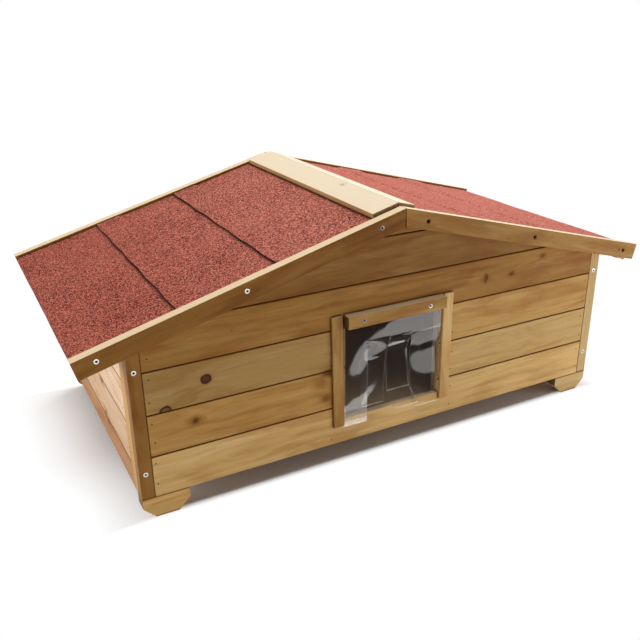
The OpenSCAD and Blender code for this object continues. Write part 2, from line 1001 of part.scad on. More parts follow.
front_board_1();
front_board_2_left();
front_board_2_right();
front_board_3_left();
front_board_3_right();
front_board_4();
front_board_5();
front_board_6();
back_boards();
left_wall_board_1();
left_wall_board_2();
left_wall_board_3();
left_wall_board_4();
right_wall_board_1();
right_wall_board_2();
right_wall_board_3();
right_wall_board_4();
front_left_stile();
front_right_stile();
back_stiles();
left_wall_stiles();
right_wall_stiles();
corner_battens();
rake_battens();
door_jamb_battens();
side_wall_battens();
floor_bearers();
floor_panel();
front_left_foot();
front_right_foot();
back_left_foot();
back_right_foot();
door_left_trim();
door_right_trim();
door_header();
curtain_band();
curtain_strip_1();
curtain_strip_2();
curtain_strip_3();
curtain_strip_4();
roof_panel_left();
roof_panel_right();
felt_left_eave();
felt_left_middle();
felt_left_ridge();
felt_right_eave();
felt_right_middle();
felt_right_ridge();
barge_front_left();
barge_front_right();
barge_back_left();
barge_back_right();
ridge_cap_left();
ridge_cap_right();
ridge_batten();
eave_battens();
barge_screws();
corner_screws();
header_screws();
foot_screws();
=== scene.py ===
"""Looks of an outdoor cat house: stained softwood boarding, granulated red felt, a slit clear curtain.

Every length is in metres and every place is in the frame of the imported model: +X to the right
along the gabled front wall, +Y to the back, +Z up, with the ground at zero.
"""

from __future__ import annotations

import logging
import math
from dataclasses import dataclass
from enum import Enum

import bmesh
import bpy
import numpy as np
from mathutils import Matrix, Vector


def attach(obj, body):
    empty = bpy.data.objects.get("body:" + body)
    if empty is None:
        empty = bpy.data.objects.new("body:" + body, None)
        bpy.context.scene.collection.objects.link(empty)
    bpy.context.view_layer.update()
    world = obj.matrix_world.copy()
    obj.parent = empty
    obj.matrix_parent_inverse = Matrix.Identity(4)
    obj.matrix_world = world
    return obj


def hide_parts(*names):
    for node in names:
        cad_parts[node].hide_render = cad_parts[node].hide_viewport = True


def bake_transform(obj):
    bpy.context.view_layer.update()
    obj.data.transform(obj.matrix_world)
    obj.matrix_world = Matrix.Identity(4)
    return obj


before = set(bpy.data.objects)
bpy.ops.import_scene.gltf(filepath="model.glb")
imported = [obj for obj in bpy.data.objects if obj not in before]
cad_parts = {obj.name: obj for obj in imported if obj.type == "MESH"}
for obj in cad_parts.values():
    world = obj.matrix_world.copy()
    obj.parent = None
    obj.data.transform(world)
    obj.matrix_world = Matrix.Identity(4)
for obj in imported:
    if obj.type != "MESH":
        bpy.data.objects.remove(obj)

LOG = logging.getLogger("cat_house")

Colour = tuple[float, float, float]
Triple = tuple[float, float, float]
Lengths = np.ndarray | float
Socket = bpy.types.NodeSocket
Groups = dict[str, bpy.types.NodeTree]
Materials = dict[str, bpy.types.Material]

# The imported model's main sizes. A course's size is the length of it that shows down the slope,
# the first for the course at the eave and the second for the middle one.
PITCH = math.radians(14.95)
COS_P, SIN_P = math.cos(PITCH), math.sin(PITCH)
RIDGE_Z = 0.43247
GROUND_TO_WALL = 0.036
BOARD_COVER = 0.0702
WALL_FRONT = -0.250
HALF_WIDTH = 0.450
EAVE_OVERHANG = 0.0757
COURSE_1, COURSE_2 = 0.1605, 0.1625


class Run(Enum):
    """Directions that the grain of a piece of timber can run in."""

    ACROSS_FRONT = (1.0, 0.0, 0.0)
    FRONT_TO_BACK = (0.0, 1.0, 0.0)
    UPRIGHT = (0.0, 0.0, 1.0)
    RIGHT_SLOPE = (COS_P, 0.0, -SIN_P)
    LEFT_SLOPE = (COS_P, 0.0, SIN_P)


SQUARE_RUNS = (Run.ACROSS_FRONT, Run.FRONT_TO_BACK, Run.UPRIGHT)


def slope_point(side: int, s: Lengths, h: Lengths) -> tuple[Lengths, Lengths]:
    """Point of a roof slope.

    The point lies s down the slope from the ridge and h square off the line of the barge boards' tops.

    Args:
        side: 1 for the right slope and -1 for the left.
        s: the distance down the slope.
        h: the height off the barge line, square to the slope.

    Returns:
        The x and z of the point.
    """
    return side * (s * COS_P + h * SIN_P), RIDGE_Z - s * SIN_P + h * COS_P


# Shader wiring


class Wiring:
    """Adds nodes to a tree and joins them, with constants set on the sockets themselves."""

    def __init__(self, tree: bpy.types.NodeTree) -> None:
        """Works on the given tree."""
        self.tree = tree

    def feed(self, socket: Socket, value: object) -> None:
        """Links a socket to another, or sets its constant.

        Args:
            socket: the input to fill.
            value: a socket or a constant, or None to leave the input alone.
        """
        if value is None:
            return
        if isinstance(value, bpy.types.NodeSocket):
            self.tree.links.new(value, socket)
            return
        if isinstance(value, (tuple, list)) and socket.type == "RGBA" and len(value) == 3:
            value = (*value, 1.0)
        socket.default_value = value

    def node(self, kind: str, inputs: dict | None = None, **settings: object) -> bpy.types.Node:
        """Adds a node.

        Args:
            kind: the node's type name.
            inputs: each socket's name or number, with its constant or the socket that feeds it.
            **settings: the node's own properties.

        Returns:
            The new node.
        """
        made = self.tree.nodes.new(kind)
        for name, value in settings.items():
            setattr(made, name, value)
        for name, value in (inputs or {}).items():
            self.feed(made.inputs[name], value)
        return made

    def math(
        self, operation: str, a: object, b: object = None, c: object = None, clamp: bool = False
    ) -> Socket:
        """Does one step of arithmetic on numbers.

        Args:
            operation: the step's name, such as ADD.
            a: the first number, or its socket.
            b: the second one, where the step takes two.
            c: the third one, where the step takes three.
            clamp: whether the result is held between 0 and 1.

        Returns:
            The result's socket.
        """
        made = self.node("ShaderNodeMath", operation=operation, use_clamp=clamp)
        for socket, value in zip(made.inputs, (a, b, c)):
            self.feed(socket, value)
        return made.outputs[0]

    def vector(self, operation: str, a: object, b: object = None, scale: object = None) -> Socket:
        """Does one step of arithmetic on vectors.

        Args:
            operation: the step's name, such as MULTIPLY.
            a: the first vector, or its socket.
            b: the second one, where the step takes two.
            scale: the factor of a SCALE step.

        Returns:
            The result's socket, which is a number for a length or a dot product.
        """
        made = self.node("ShaderNodeVectorMath", operation=operation)
        self.feed(made.inputs[0], a)
        self.feed(made.inputs[1], b)
        if scale is not None:
            self.feed(made.inputs["Scale"], scale)
        return made.outputs["Value" if operation in ("LENGTH", "DOT_PRODUCT") else "Vector"]

    def ramp(
        self, value: object, low: object, high: object, to_low: float = 0.0, to_high: float = 1.0
    ) -> Socket:
        """Carries a number from one range to another by a smooth step, flat outside the range.

        Args:
            value: the number's socket.
            low: where the step starts.
            high: where it ends, which may lie below low.
            to_low: the result at low.
            to_high: the result at high.

        Returns:
            The result's socket.
        """
        made = self.node(
            "ShaderNodeMapRange",
            {"Value": value, "From Min": low, "From Max": high, "To Min": to_low, "To Max": to_high},
            interpolation_type="SMOOTHSTEP",
        )
        return made.outputs["Result"]

    def mix(self, factor: object, a: object, b: object, blend: str = "MIX") -> Socket:
        """Mixes two colours.

        Args:
            factor: the second colour's share, from 0 to 1.
            a: the first colour, or its socket.
            b: the second colour, or its socket.
            blend: the kind of mix, such as MULTIPLY.

        Returns:
            The mixed colour's socket.
        """
        made = self.node("ShaderNodeMix", data_type="RGBA", blend_type=blend)
        self.feed(made.inputs["Factor"], factor)
        self.feed(made.inputs[6], a)
        self.feed(made.inputs[7], b)
        return made.outputs[2]

    def noise(
        self, vector: object, scale: float, detail: float = 2.0, rough: float = 0.5, lean: float = 0.0
    ) -> Socket:
        """Adds fractal noise from 0 to 1.

        Args:
            vector: the place's socket.
            scale: the noise's frequency per unit of the place.
            detail: the number of finer layers.
            rough: the strength of each finer layer against the one before it.
            lean: how far the noise is dragged along by itself.

        Returns:
            The noise's socket.
        """
        made = self.node(
            "ShaderNodeTexNoise",
            {"Vector": vector, "Scale": scale, "Detail": detail, "Roughness": rough, "Distortion": lean},
        )
        return made.outputs[0]

    def group(self, tree: bpy.types.NodeTree, inputs: dict) -> bpy.types.Node:
        """Places a shared group with its own values.

        Args:
            tree: the group's tree.
            inputs: each input's name, with its constant or the socket that feeds it.

        Returns:
            The group's node.
        """
        made = self.node("ShaderNodeGroup", node_tree=tree)
        for name, value in inputs.items():
            self.feed(made.inputs[name], value)
        return made


def new_group(
    name: str, ins: dict[str, str], outs: dict[str, str]
) -> tuple[bpy.types.NodeTree, Wiring, bpy.types.Node, bpy.types.Node]:
    """Starts a shared node group.

    Args:
        name: the group's name.
        ins: each input's name and its kind, such as Float, Vector or Color.
        outs: each output's name and its kind.

    Returns:
        The group's tree, its Wiring, its input node and its output node.
    """
    tree = bpy.data.node_groups.new(name, "ShaderNodeTree")
    for way, sockets in (("INPUT", ins), ("OUTPUT", outs)):
        for label, kind in sockets.items():
            tree.interface.new_socket(name=label, in_out=way, socket_type=f"NodeSocket{kind}")
    wiring = Wiring(tree)
    return tree, wiring, wiring.node("NodeGroupInput"), wiring.node("NodeGroupOutput")


def new_material(name: str) -> tuple[bpy.types.Material, Wiring, bpy.types.Node]:
    """Starts a material.

    Args:
        name: the material's name.

    Returns:
        The material, its Wiring and its Principled node.
    """
    made = bpy.data.materials.new(name)
    made.use_nodes = True
    return made, Wiring(made.node_tree), made.node_tree.nodes["Principled BSDF"]


def grain_group() -> bpy.types.NodeTree:
    """Growth rings, streaks and fibres of a board.

    The rings are circles round a line that runs along the grain, bent by slow noise, so a flat
    face shows long arches and an end shows arcs. The rest is noise stretched along the grain, each
    figure by its own three frequencies along, across and through the board. All of it but the
    cloud is lifted round the knots with the rings.

    Returns:
        The group's tree.
    """
    tree, w, given, out = new_group(
        "timber_figure",
        {"Grain": "Vector", "Lift": "Float", "Ring Width": "Float"},
        {name: "Float" for name in ("Rings", "Fibres", "Streaks", "Cloud", "Ticks", "Flecks")},
    )
    grain = given.outputs["Grain"]
    parts = w.node("ShaderNodeSeparateXYZ", {0: grain})
    slow = w.vector("MULTIPLY", grain, (2.6, 13.0, 13.0))
    bend = w.math("MULTIPLY_ADD", w.noise(slow, 1.0, 3.0), 0.046, -0.023)
    across = w.math("ADD", w.math("ADD", parts.outputs[1], given.outputs["Lift"]), bend)
    squares = w.math("MULTIPLY", across, across), w.math("MULTIPLY", parts.outputs[2], parts.outputs[2])
    radius = w.math("SQRT", w.math("ADD", *squares))
    uneven = w.math("MULTIPLY", w.noise(w.vector("MULTIPLY", grain, (1.5, 40.0, 40.0)), 1.0, 2.0), 1.6)
    turns = w.math("ADD", w.math("DIVIDE", radius, given.outputs["Ring Width"]), uneven)
    saw = w.math("FRACT", turns)
    late = w.math("MULTIPLY", w.ramp(saw, 0.15, 0.80), w.ramp(saw, 1.0, 0.84))
    w.feed(out.inputs["Rings"], late)
    lifted = w.node("ShaderNodeCombineXYZ", {0: parts.outputs[0], 1: across, 2: parts.outputs[2]}).outputs[0]
    figures = (
        ("Fibres", lifted, (16.0, 900.0, 900.0), {"detail": 2.0, "rough": 0.6}),
        ("Streaks", lifted, (7.0, 85.0, 85.0), {"detail": 3.0, "rough": 0.55, "lean": 0.3}),
        ("Cloud", grain, (6.0, 22.0, 22.0), {"detail": 3.0, "rough": 0.55, "lean": 0.6}),
        ("Ticks", lifted, (60.0, 700.0, 700.0), {"detail": 1.0}),
        ("Flecks", lifted, (34.0, 330.0, 330.0), {"detail": 1.0}),
    )
    for name, place, stretch, settings in figures:
        w.feed(out.inputs[name], w.noise(w.vector("MULTIPLY", place, stretch), 1.0, **settings))
    return tree


def crevice_shade_group() -> bpy.types.NodeTree:
    """Painted shade where pieces meet: 1 deep in a gap, 0 on an open face.

    The amount falls as the share of open sky over a point, within a few millimetres, rises.

    Returns:
        The group's tree.
    """
    tree, w, given, out = new_group("crevice_shade", {"Reach": "Float"}, {"Dark": "Float"})
    sky = w.node("ShaderNodeAmbientOcclusion", {"Distance": given.outputs["Reach"]}, samples=6)
    w.feed(out.inputs["Dark"], w.ramp(sky.outputs["AO"], 0.985, 0.72))
    return tree


def end_grain_group() -> bpy.types.NodeTree:
    """Faces cut across the grain, which drink more stain: 1 where the normal lies along the run.

    Returns:
        The group's tree.
    """
    tree, w, given, out = new_group("end_grain", {"Run": "Vector"}, {"End": "Float"})
    normal = w.node("ShaderNodeNewGeometry").outputs["True Normal"]
    along = w.vector("DOT_PRODUCT", normal, given.outputs["Run"])
    w.feed(out.inputs["End"], w.ramp(w.math("ABSOLUTE", along), 0.86, 0.96))
    return tree


def top_light_group() -> bpy.types.NodeTree:
    """Faces that look up, where top light is painted: 1 where level, 0 where upright.

    Returns:
        The group's tree.
    """
    tree, w, _, out = new_group("painted_top_light", {}, {"Top": "Float"})
    normal = w.node("ShaderNodeNewGeometry").outputs["Normal"]
    w.feed(out.inputs["Top"], w.ramp(w.node("ShaderNodeSeparateXYZ", {0: normal}).outputs[2], 0.76, 0.95))
    return tree


def knot_group() -> bpy.types.NodeTree:
    """One knot: an oval core, a darker rim, a soft halo, and the pull that leads the grain round it.

    The pull is (height off the centre) times exp(-(distance / reach)^2). Ragged is how far noise
    draws the outline out, in metres, Soft how far its edge fades, and nothing shows below Above.

    Returns:
        The group's tree.
    """
    vectors = {name: "Vector" for name in ("Place", "Centre", "Size")}
    numbers = {name: "Float" for name in ("Reach", "Above", "Ragged", "Soft")}
    results = {name: "Float" for name in ("Core", "Rim", "Halo", "Pull")}
    tree, w, given, out = new_group("knot", vectors | numbers, results)
    place, reach, soft = given.outputs["Place"], given.outputs["Reach"], given.outputs["Soft"]
    drawn = w.node("ShaderNodeTexNoise", {"Vector": place, "Scale": 210.0, "Detail": 2.0}).outputs["Color"]
    drawn = w.vector("SCALE", w.vector("SUBTRACT", drawn, (0.5, 0.5, 0.5)), None, given.outputs["Ragged"])
    flat = w.vector("ADD", w.vector("SUBTRACT", place, given.outputs["Centre"]), drawn)
    flat = w.vector("MULTIPLY", flat, (1.0, 0.0, 1.0))
    level = w.node("ShaderNodeSeparateXYZ", {0: place}).outputs[2]
    kept = w.math("GREATER_THAN", level, given.outputs["Above"])
    wobble = w.math("MULTIPLY_ADD", w.noise(place, 160.0, 2.0), 0.5, 0.75)
    distance = w.math("MULTIPLY", w.vector("LENGTH", w.vector("DIVIDE", flat, given.outputs["Size"])), wobble)
    outer = w.math("ADD", soft, 1.12)
    inner = w.math("MULTIPLY_ADD", soft, -0.8, 0.80)
    w.feed(out.inputs["Core"], w.math("MULTIPLY", w.ramp(distance, outer, inner), kept))
    rim = w.math("MULTIPLY", w.ramp(distance, 0.50, 0.82), w.ramp(distance, 1.16, 0.98))
    w.feed(out.inputs["Rim"], w.math("MULTIPLY", rim, kept))
    drift = w.vector("MULTIPLY", w.vector("DIVIDE", flat, reach), (0.75, 0.0, 1.3))
    drift = w.math("MULTIPLY", w.vector("LENGTH", drift), wobble)
    w.feed(out.inputs["Halo"], w.math("MULTIPLY", w.ramp(drift, 1.0, 0.1), kept))
    far = w.math("DIVIDE", w.vector("LENGTH", w.vector("MULTIPLY", flat, (0.6, 0.0, 1.0))), reach)
    fall = w.math("EXPONENT", w.math("MULTIPLY", w.math("MULTIPLY", far, far), -1.0))
    height = w.node("ShaderNodeSeparateXYZ", {0: flat}).outputs[2]
    w.feed(out.inputs["Pull"], w.math("MULTIPLY", w.math("MULTIPLY", height, fall), -0.8))
    return tree


def wild_knot_group() -> bpy.types.NodeTree:
    """Small knots strewn over a board: the cells of a Voronoi pattern, most of them left empty.

    Returns:
        The group's tree.
    """
    tree, w, given, out = new_group(
        "wild_knots", {"Grain": "Vector", "Share": "Float"}, {"Core": "Float", "Halo": "Float"}
    )
    place = w.vector("MULTIPLY", given.outputs["Grain"], (6.5, 9.0, 0.0))
    cells = w.node("ShaderNodeTexVoronoi", {"Vector": place, "Scale": 1.0, "Randomness": 0.9})
    pick = w.node("ShaderNodeSeparateColor", {0: cells.outputs["Color"]})
    chosen = w.math("LESS_THAN", pick.outputs[0], given.outputs["Share"])
    size = w.math("MULTIPLY_ADD", pick.outputs[1], 0.035, 0.025)
    distance = w.math("DIVIDE", cells.outputs["Distance"], size)
    w.feed(out.inputs["Core"], w.math("MULTIPLY", w.ramp(distance, 1.1, 0.7), chosen))
    w.feed(out.inputs["Halo"], w.math("MULTIPLY", w.ramp(distance, 3.0, 0.7), chosen))
    return tree


class Wall(Enum):
    """Faces that a knot can lie on, as the axes that run along and up the face."""

    FRONT = (0, 2)
    SIDE = (1, 2)
    CAP = (1, 0)


@dataclass(frozen=True)
class Knot:
    """A knot: its centre along the wall and its height, its half width and height, and its strengths.

    Dark is the strength of its core, and rim that of its edge. Halo is how strongly the wood round
    it is stained, and reach how far. Ragged is how far its outline wanders, soft how far its edge
    fades, and above the height below which nothing of it shows.
    """

    along: float
    z: float
    half_w: float
    half_h: float
    dark: float = 0.9
    rim: float = 0.9
    halo: float = 0.3
    reach: float = 0.018
    ragged: float = 0.002
    soft: float = 0.0
    above: float = 0.0


@dataclass(frozen=True)
class Stain:
    """Finish of stained softwood.

    Its colours are those between the rings, in them, in pale streaks, in pale flecks and as painted top light
    on faces that look up, in a knot, at its rim and round it, and as painted shade in cracks. End_dark is how
    dark the ends of a length are, and joint_z the height of a joint whose gap's shadow is painted as a dark
    line. Between joint_core and joint_half off that height the line fades out. Crack_reach is how far from a
    neighbour the painted shade reaches, and relief how deep the fibres and streaks are.
    """

    name: str
    early: Colour
    late: Colour
    pale: Colour
    # Pale colour of the flecks and of the painted top light.
    flecks_and_top_light: Colour = (0.640, 0.500, 0.320)
    knot: Colour = (0.105, 0.027, 0.009)
    rim: Colour = (0.022, 0.008, 0.006)
    halo: Colour = (0.320, 0.130, 0.030)
    knot_cloud: Colour = (0.265, 0.112, 0.013)
    gap_shade: Colour = (0.215, 0.078, 0.006)
    ring_width: float = 0.0085
    ring_strength: float = 0.45
    rough: float = 0.50
    end_dark: float = 0.0
    joint_z: float = -1.0
    joint_core: float = 0.0010
    joint_half: float = 0.0024
    crack_reach: float = 0.0036
    gloss: float = 0.12
    relief: float = 0.0006
    wild_share: float = 0.0
    wall: Wall = Wall.FRONT
    knots: tuple[Knot, ...] = ()

    def material(self, groups: Groups) -> bpy.types.Material:
        """Builds the material.

        Args:
            groups: the shared node groups by name.

        Returns:
            The finished material.
        """
        made, w, shader = new_material(self.name)
        grain = w.node("ShaderNodeAttribute", attribute_name="grain").outputs["Vector"]
        tone = w.node("ShaderNodeAttribute", attribute_name="tone").outputs["Vector"]
        tone = w.node("ShaderNodeSeparateXYZ", {0: tone})
        lift, core, rim, halo = self._knots(w, groups, grain)
        given = {"Grain": grain, "Lift": lift, "Ring Width": self.ring_width}
        figure = w.group(groups["timber_figure"], given)
        rings, fibres = figure.outputs["Rings"], figure.outputs["Fibres"]
        streaks, cloud = figure.outputs["Streaks"], figure.outputs["Cloud"]

        # The figure of the wood: rings where the cloud lets them show, streaks both ways, ticks, flecks.
        shown = w.math("MULTIPLY", w.ramp(cloud, 0.36, 0.60), self.ring_strength)
        colour = w.mix(w.math("MULTIPLY", rings, shown), self.early, self.late)
        colour = w.mix(w.ramp(streaks, 0.52, 0.72, 0.0, 0.55), colour, self.late)
        colour = w.mix(w.ramp(streaks, 0.47, 0.30, 0.0, 0.5), colour, self.pale)
        colour = w.mix(w.ramp(cloud, 0.46, 0.70, 0.0, 0.62), colour, self.late)
        colour = w.mix(w.ramp(figure.outputs["Ticks"], 0.66, 0.8, 0.0, 0.35), colour, self.halo)
        colour = w.mix(w.ramp(figure.outputs["Flecks"], 0.68, 0.78, 0.0, 0.22), colour, self.flecks_and_top_light)

        # The piece's tone, with the painted light and shade that it holds as well as its stain, and the
        # fibres.
        colour = w.mix(w.math("MULTIPLY", tone.outputs[0], 0.75), colour, self.halo)
        colour = w.node("ShaderNodeGamma", {"Color": colour, "Gamma": tone.outputs[2]}).outputs[0]
        value = w.math("MULTIPLY_ADD", fibres, 0.16, 0.92)
        value = w.math("MULTIPLY", value, w.math("ADD", tone.outputs[1], 1.0))
        grey = w.node("ShaderNodeCombineColor", {0: value, 1: value, 2: value}).outputs[0]
        colour = w.mix(1.0, colour, grey, "MULTIPLY")

        # Cut ends, knots, painted top light on faces that look up, the painted shadow line at the joint and
        # painted shade in the cracks between pieces.
        run = w.node("ShaderNodeAttribute", attribute_name="run").outputs["Vector"]
        cut = w.group(groups["end_grain"], {"Run": run}).outputs["End"]
        colour = w.mix(w.math("MULTIPLY", cut, self.end_dark), colour, self.rim)
        colour = w.mix(halo, colour, self.knot_cloud)
        colour = w.mix(core, colour, self.knot)
        colour = w.mix(rim, colour, self.rim)
        # Painted top light: faces that look up turn pale, less so over knots.
        top = w.group(groups["painted_top_light"], {}).outputs["Top"]
        spared = w.math("MULTIPLY_ADD", w.math("MAXIMUM", core, halo), -0.45, 0.92)
        colour = w.mix(w.math("MULTIPLY", top, spared), colour, self.flecks_and_top_light)
        # Painted shadow of the gap at the joint: a dark line at joint_z that fades out between joint_core and
        # joint_half.
        place = w.node("ShaderNodeTexCoord").outputs["Object"]
        height = w.node("ShaderNodeSeparateXYZ", {0: place}).outputs[2]
        from_joint = w.math("ABSOLUTE", w.math("SUBTRACT", height, self.joint_z))
        joint = w.ramp(from_joint, self.joint_half, self.joint_core, 0.0, 0.9)
        colour = w.mix(joint, colour, self.gap_shade)
        # Painted shade in the cracks and where pieces meet.
        dark = w.group(groups["crevice_shade"], {"Reach": self.crack_reach}).outputs["Dark"]
        colour = w.mix(w.math("MULTIPLY", dark, 0.92), colour, self.gap_shade)
        w.feed(shader.inputs["Base Color"], colour)

        rough = w.math("MULTIPLY_ADD", streaks, 0.16, self.rough - 0.08)
        w.feed(shader.inputs["Roughness"], w.math("MULTIPLY_ADD", dark, 0.5, rough))
        shader.inputs["Specular IOR Level"].default_value = self.gloss
        relief = w.math("MULTIPLY_ADD", fibres, 0.5, w.math("MULTIPLY", rings, -0.3))
        relief = w.math("MULTIPLY_ADD", streaks, 0.8, relief)
        bump = w.node("ShaderNodeBump", {"Height": relief, "Strength": 0.4, "Distance": self.relief})
        w.feed(shader.inputs["Normal"], bump.outputs[0])
        return made

    def _knots(self, w: Wiring, groups: Groups, grain: Socket) -> tuple[Socket | float, ...]:
        """Places the knots, each on its own, and where some are strewn, those too.

        Args:
            w: the material's wiring.
            groups: the shared node groups by name.
            grain: the grain vector's socket.

        Returns:
            The grain's lift, which is the sum of the pulls, and the greatest core, rim and halo.
        """
        place = w.node("ShaderNodeTexCoord").outputs["Object"]
        along, up = self.wall.value
        split = w.node("ShaderNodeSeparateXYZ", {0: place})
        place = w.node("ShaderNodeCombineXYZ", {0: split.outputs[along], 1: 0.0, 2: split.outputs[up]})
        place = place.outputs[0]
        lift, core, rim, halo = 0.0, 0.0, 0.0, 0.0
        for knot in self.knots:
            one = w.group(
                groups["knot"],
                {
                    "Place": place,
                    "Centre": (knot.along, 0.0, knot.z),
                    "Size": (knot.half_w, 1.0, knot.half_h),
                    "Reach": knot.reach,
                    "Above": knot.above,
                    "Ragged": knot.ragged,
                    "Soft": knot.soft,
                },
            )
            lift = w.math("ADD", lift, one.outputs["Pull"])
            core = w.math("MAXIMUM", core, w.math("MULTIPLY", one.outputs["Core"], knot.dark))
            rim = w.math("MAXIMUM", rim, w.math("MULTIPLY", one.outputs["Rim"], knot.rim))
            halo = w.math("MAXIMUM", halo, w.math("MULTIPLY", one.outputs["Halo"], knot.halo))
        if self.wild_share > 0:
            wild = w.group(groups["wild_knots"], {"Grain": grain, "Share": self.wild_share})
            core = w.math("MAXIMUM", core, w.math("MULTIPLY", wild.outputs["Core"], 0.7))
            halo = w.math("MAXIMUM", halo, w.math("MULTIPLY", wild.outputs["Halo"], 0.4))
        return lift, core, rim, halo


@dataclass(frozen=True)
class Granules:
    """Finish of roofing felt: mineral granules in three shades, and a redder painted sheen on the right
    slope.

    The left slope grows coarser up to the ridge, and brighter there by painted light. The right slope takes
    on the painted sheen, with paler patches of painted sheen. The cut edge shows the bitumen, and painted
    shade darkens the cracks. Granules, clumps, grit and patches are frequencies per metre.
    """

    name: str
    body: Colour
    pale: Colour
    dark: Colour
    painted_ridge_light: Colour = (1.23, 1.44, 1.50)
    painted_sheen: Colour = (0.390, 0.055, 0.036)
    sheen_patches: Colour = (0.560, 0.240, 0.180)
    bitumen: Colour = (0.012, 0.010, 0.010)
    crack_shade: Colour = (0.014, 0.006, 0.006)
    granules: float = 700.0
    clumps: float = 430.0
    grit: float = 240.0
    patches: float = 170.0
    crack_reach: float = 0.006
    gloss: float = 0.06
    relief: float = 0.0012

    def material(self, groups: Groups) -> bpy.types.Material:
        """Builds the material: cells and finer noise pick each granule's shade and its height.

        Args:
            groups: the shared node groups by name.

        Returns:
            The finished material.
        """
        made, w, shader = new_material(self.name)
        place = w.node("ShaderNodeTexCoord").outputs["Object"]

        # Each granule's shade, by its own cell, the clump that it lies in, the wear and the grit.
        cells = w.node("ShaderNodeTexVoronoi", {"Vector": place, "Scale": self.granules})
        pick = w.node("ShaderNodeSeparateColor", {0: cells.outputs["Color"]})
        clumps = w.noise(place, self.clumps, 2.0, 0.7)
        wear = w.noise(place, 9.0, 3.0, 0.55)
        across = w.node("ShaderNodeSeparateXYZ", {0: place}).outputs[0]
        grit = w.math("SUBTRACT", w.noise(place, self.grit, 2.0, 0.7), 0.5)
        grit = w.math("MULTIPLY", grit, w.ramp(across, -0.40, -0.05, 0.0, 0.60))
        mottle = w.math("ADD", w.math("MULTIPLY", pick.outputs[0], 0.62), w.math("MULTIPLY", clumps, 0.70))
        mottle = w.math("ADD", mottle, grit)
        colour = w.mix(w.ramp(mottle, 0.66, 0.86), self.body, self.pale)
        colour = w.mix(w.ramp(mottle, 0.64, 0.42), colour, self.dark)
        colour = w.mix(w.ramp(wear, 0.4, 0.75, 0.0, 0.10), colour, self.pale)
        colour = w.mix(w.ramp(wear, 0.5, 0.25, 0.0, 0.10), colour, self.dark)

        # The painted light towards the top of the left slope, the painted sheen of the right slope, the cut
        # edge and the painted shade in the cracks.
        colour = w.mix(w.ramp(across, -0.47, 0.0), colour, self.painted_ridge_light, "MULTIPLY")
        sheen_side = w.ramp(across, 0.02, 0.10)
        colour = w.mix(w.math("MULTIPLY", sheen_side, 0.45), colour, self.painted_sheen)
        patches = w.ramp(w.noise(place, self.patches, 3.0, 0.8), 0.46, 0.60, 0.0, 0.58)
        colour = w.mix(w.math("MULTIPLY", sheen_side, patches), colour, self.sheen_patches)
        edge = w.node("ShaderNodeAttribute", attribute_name="cut").outputs["Fac"]
        colour = w.mix(edge, colour, self.bitumen)
        # Painted shade in the cracks and under the laps.
        dark = w.group(groups["crevice_shade"], {"Reach": self.crack_reach}).outputs["Dark"]
        colour = w.mix(w.math("MULTIPLY", dark, 0.85), colour, self.crack_shade)
        w.feed(shader.inputs["Base Color"], colour)

        w.feed(shader.inputs["Roughness"], w.math("MULTIPLY_ADD", pick.outputs[1], 0.25, 0.68))
        shader.inputs["Specular IOR Level"].default_value = self.gloss
        dips = w.math("MULTIPLY", cells.outputs["Distance"], 0.8)
        height = w.math("SUBTRACT", w.math("MULTIPLY", clumps, 0.6), dips)
        bump = w.node("ShaderNodeBump", {"Height": height, "Strength": 0.7, "Distance": self.relief})
        w.feed(shader.inputs["Normal"], bump.outputs[0])
        return made


@dataclass(frozen=True)
class ClearSheet:
    """Finish of the clear flexible sheet: faint grey, glossy, slightly hazy, with milky cut edges."""

    name: str
    tint: Colour = (0.93, 0.93, 0.92)
    ior: float = 1.52
    milk: float = 0.6
    ripple: float = 0.004

    def material(self) -> bpy.types.Material:
        """Builds the material: full transmission, less by the milk at cut edges, with faint ripples.

        Returns:
            The finished material.
        """
        made, w, shader = new_material(self.name)
        place = w.node("ShaderNodeTexCoord").outputs["Object"]
        shader.inputs["Base Color"].default_value = (*self.tint, 1.0)
        edge = w.node("ShaderNodeAttribute", attribute_name="edge").outputs["Fac"]
        w.feed(shader.inputs["Transmission Weight"], w.math("MULTIPLY_ADD", edge, -self.milk, 1.0))
        shader.inputs["IOR"].default_value = self.ior
        haze = w.noise(place, 60.0, 3.0, 0.6)
        w.feed(shader.inputs["Roughness"], w.ramp(haze, 0.45, 0.8, 0.02, 0.09))
        ripple = w.noise(w.vector("MULTIPLY", place, (30.0, 30.0, 14.0)), 1.0, 1.0)
        bump = w.node("ShaderNodeBump", {"Height": ripple, "Strength": 0.12, "Distance": self.ripple})
        w.feed(shader.inputs["Normal"], bump.outputs[0])
        return made


@dataclass(frozen=True)
class Steel:
    """Finish of a metal: its colour, roughness, scuffs per metre and relief, and the painted shade in its
    slots.
    """

    name: str
    colour: Colour
    rough: float
    scuffs: float = 900.0
    relief: float = 0.0001
    recess_shade: Colour = (0.01, 0.009, 0.009)

    def material(self) -> bpy.types.Material:
        """Builds the material: metal with fine noise in its roughness and relief.

        Returns:
            The finished material.
        """
        made, w, shader = new_material(self.name)
        place = w.node("ShaderNodeTexCoord").outputs["Object"]
        scuff = w.noise(place, self.scuffs, 3.0, 0.6)
        dull = tuple(c * 0.7 for c in self.colour)
        # The recess share, painted dark as shade.
        deep = w.node("ShaderNodeAttribute", attribute_name="deep").outputs["Fac"]
        colour = w.mix(w.ramp(scuff, 0.35, 0.8), self.colour, dull)
        w.feed(shader.inputs["Base Color"], w.mix(w.ramp(deep, 0.0, 0.3), colour, self.recess_shade))
        shader.inputs["Metallic"].default_value = 1.0
        w.feed(shader.inputs["Roughness"], w.math("MULTIPLY_ADD", scuff, 0.2, self.rough - 0.1))
        bump = w.node("ShaderNodeBump", {"Height": scuff, "Strength": 0.2, "Distance": self.relief})
        w.feed(shader.inputs["Normal"], bump.outputs[0])
        return made


# Meshes


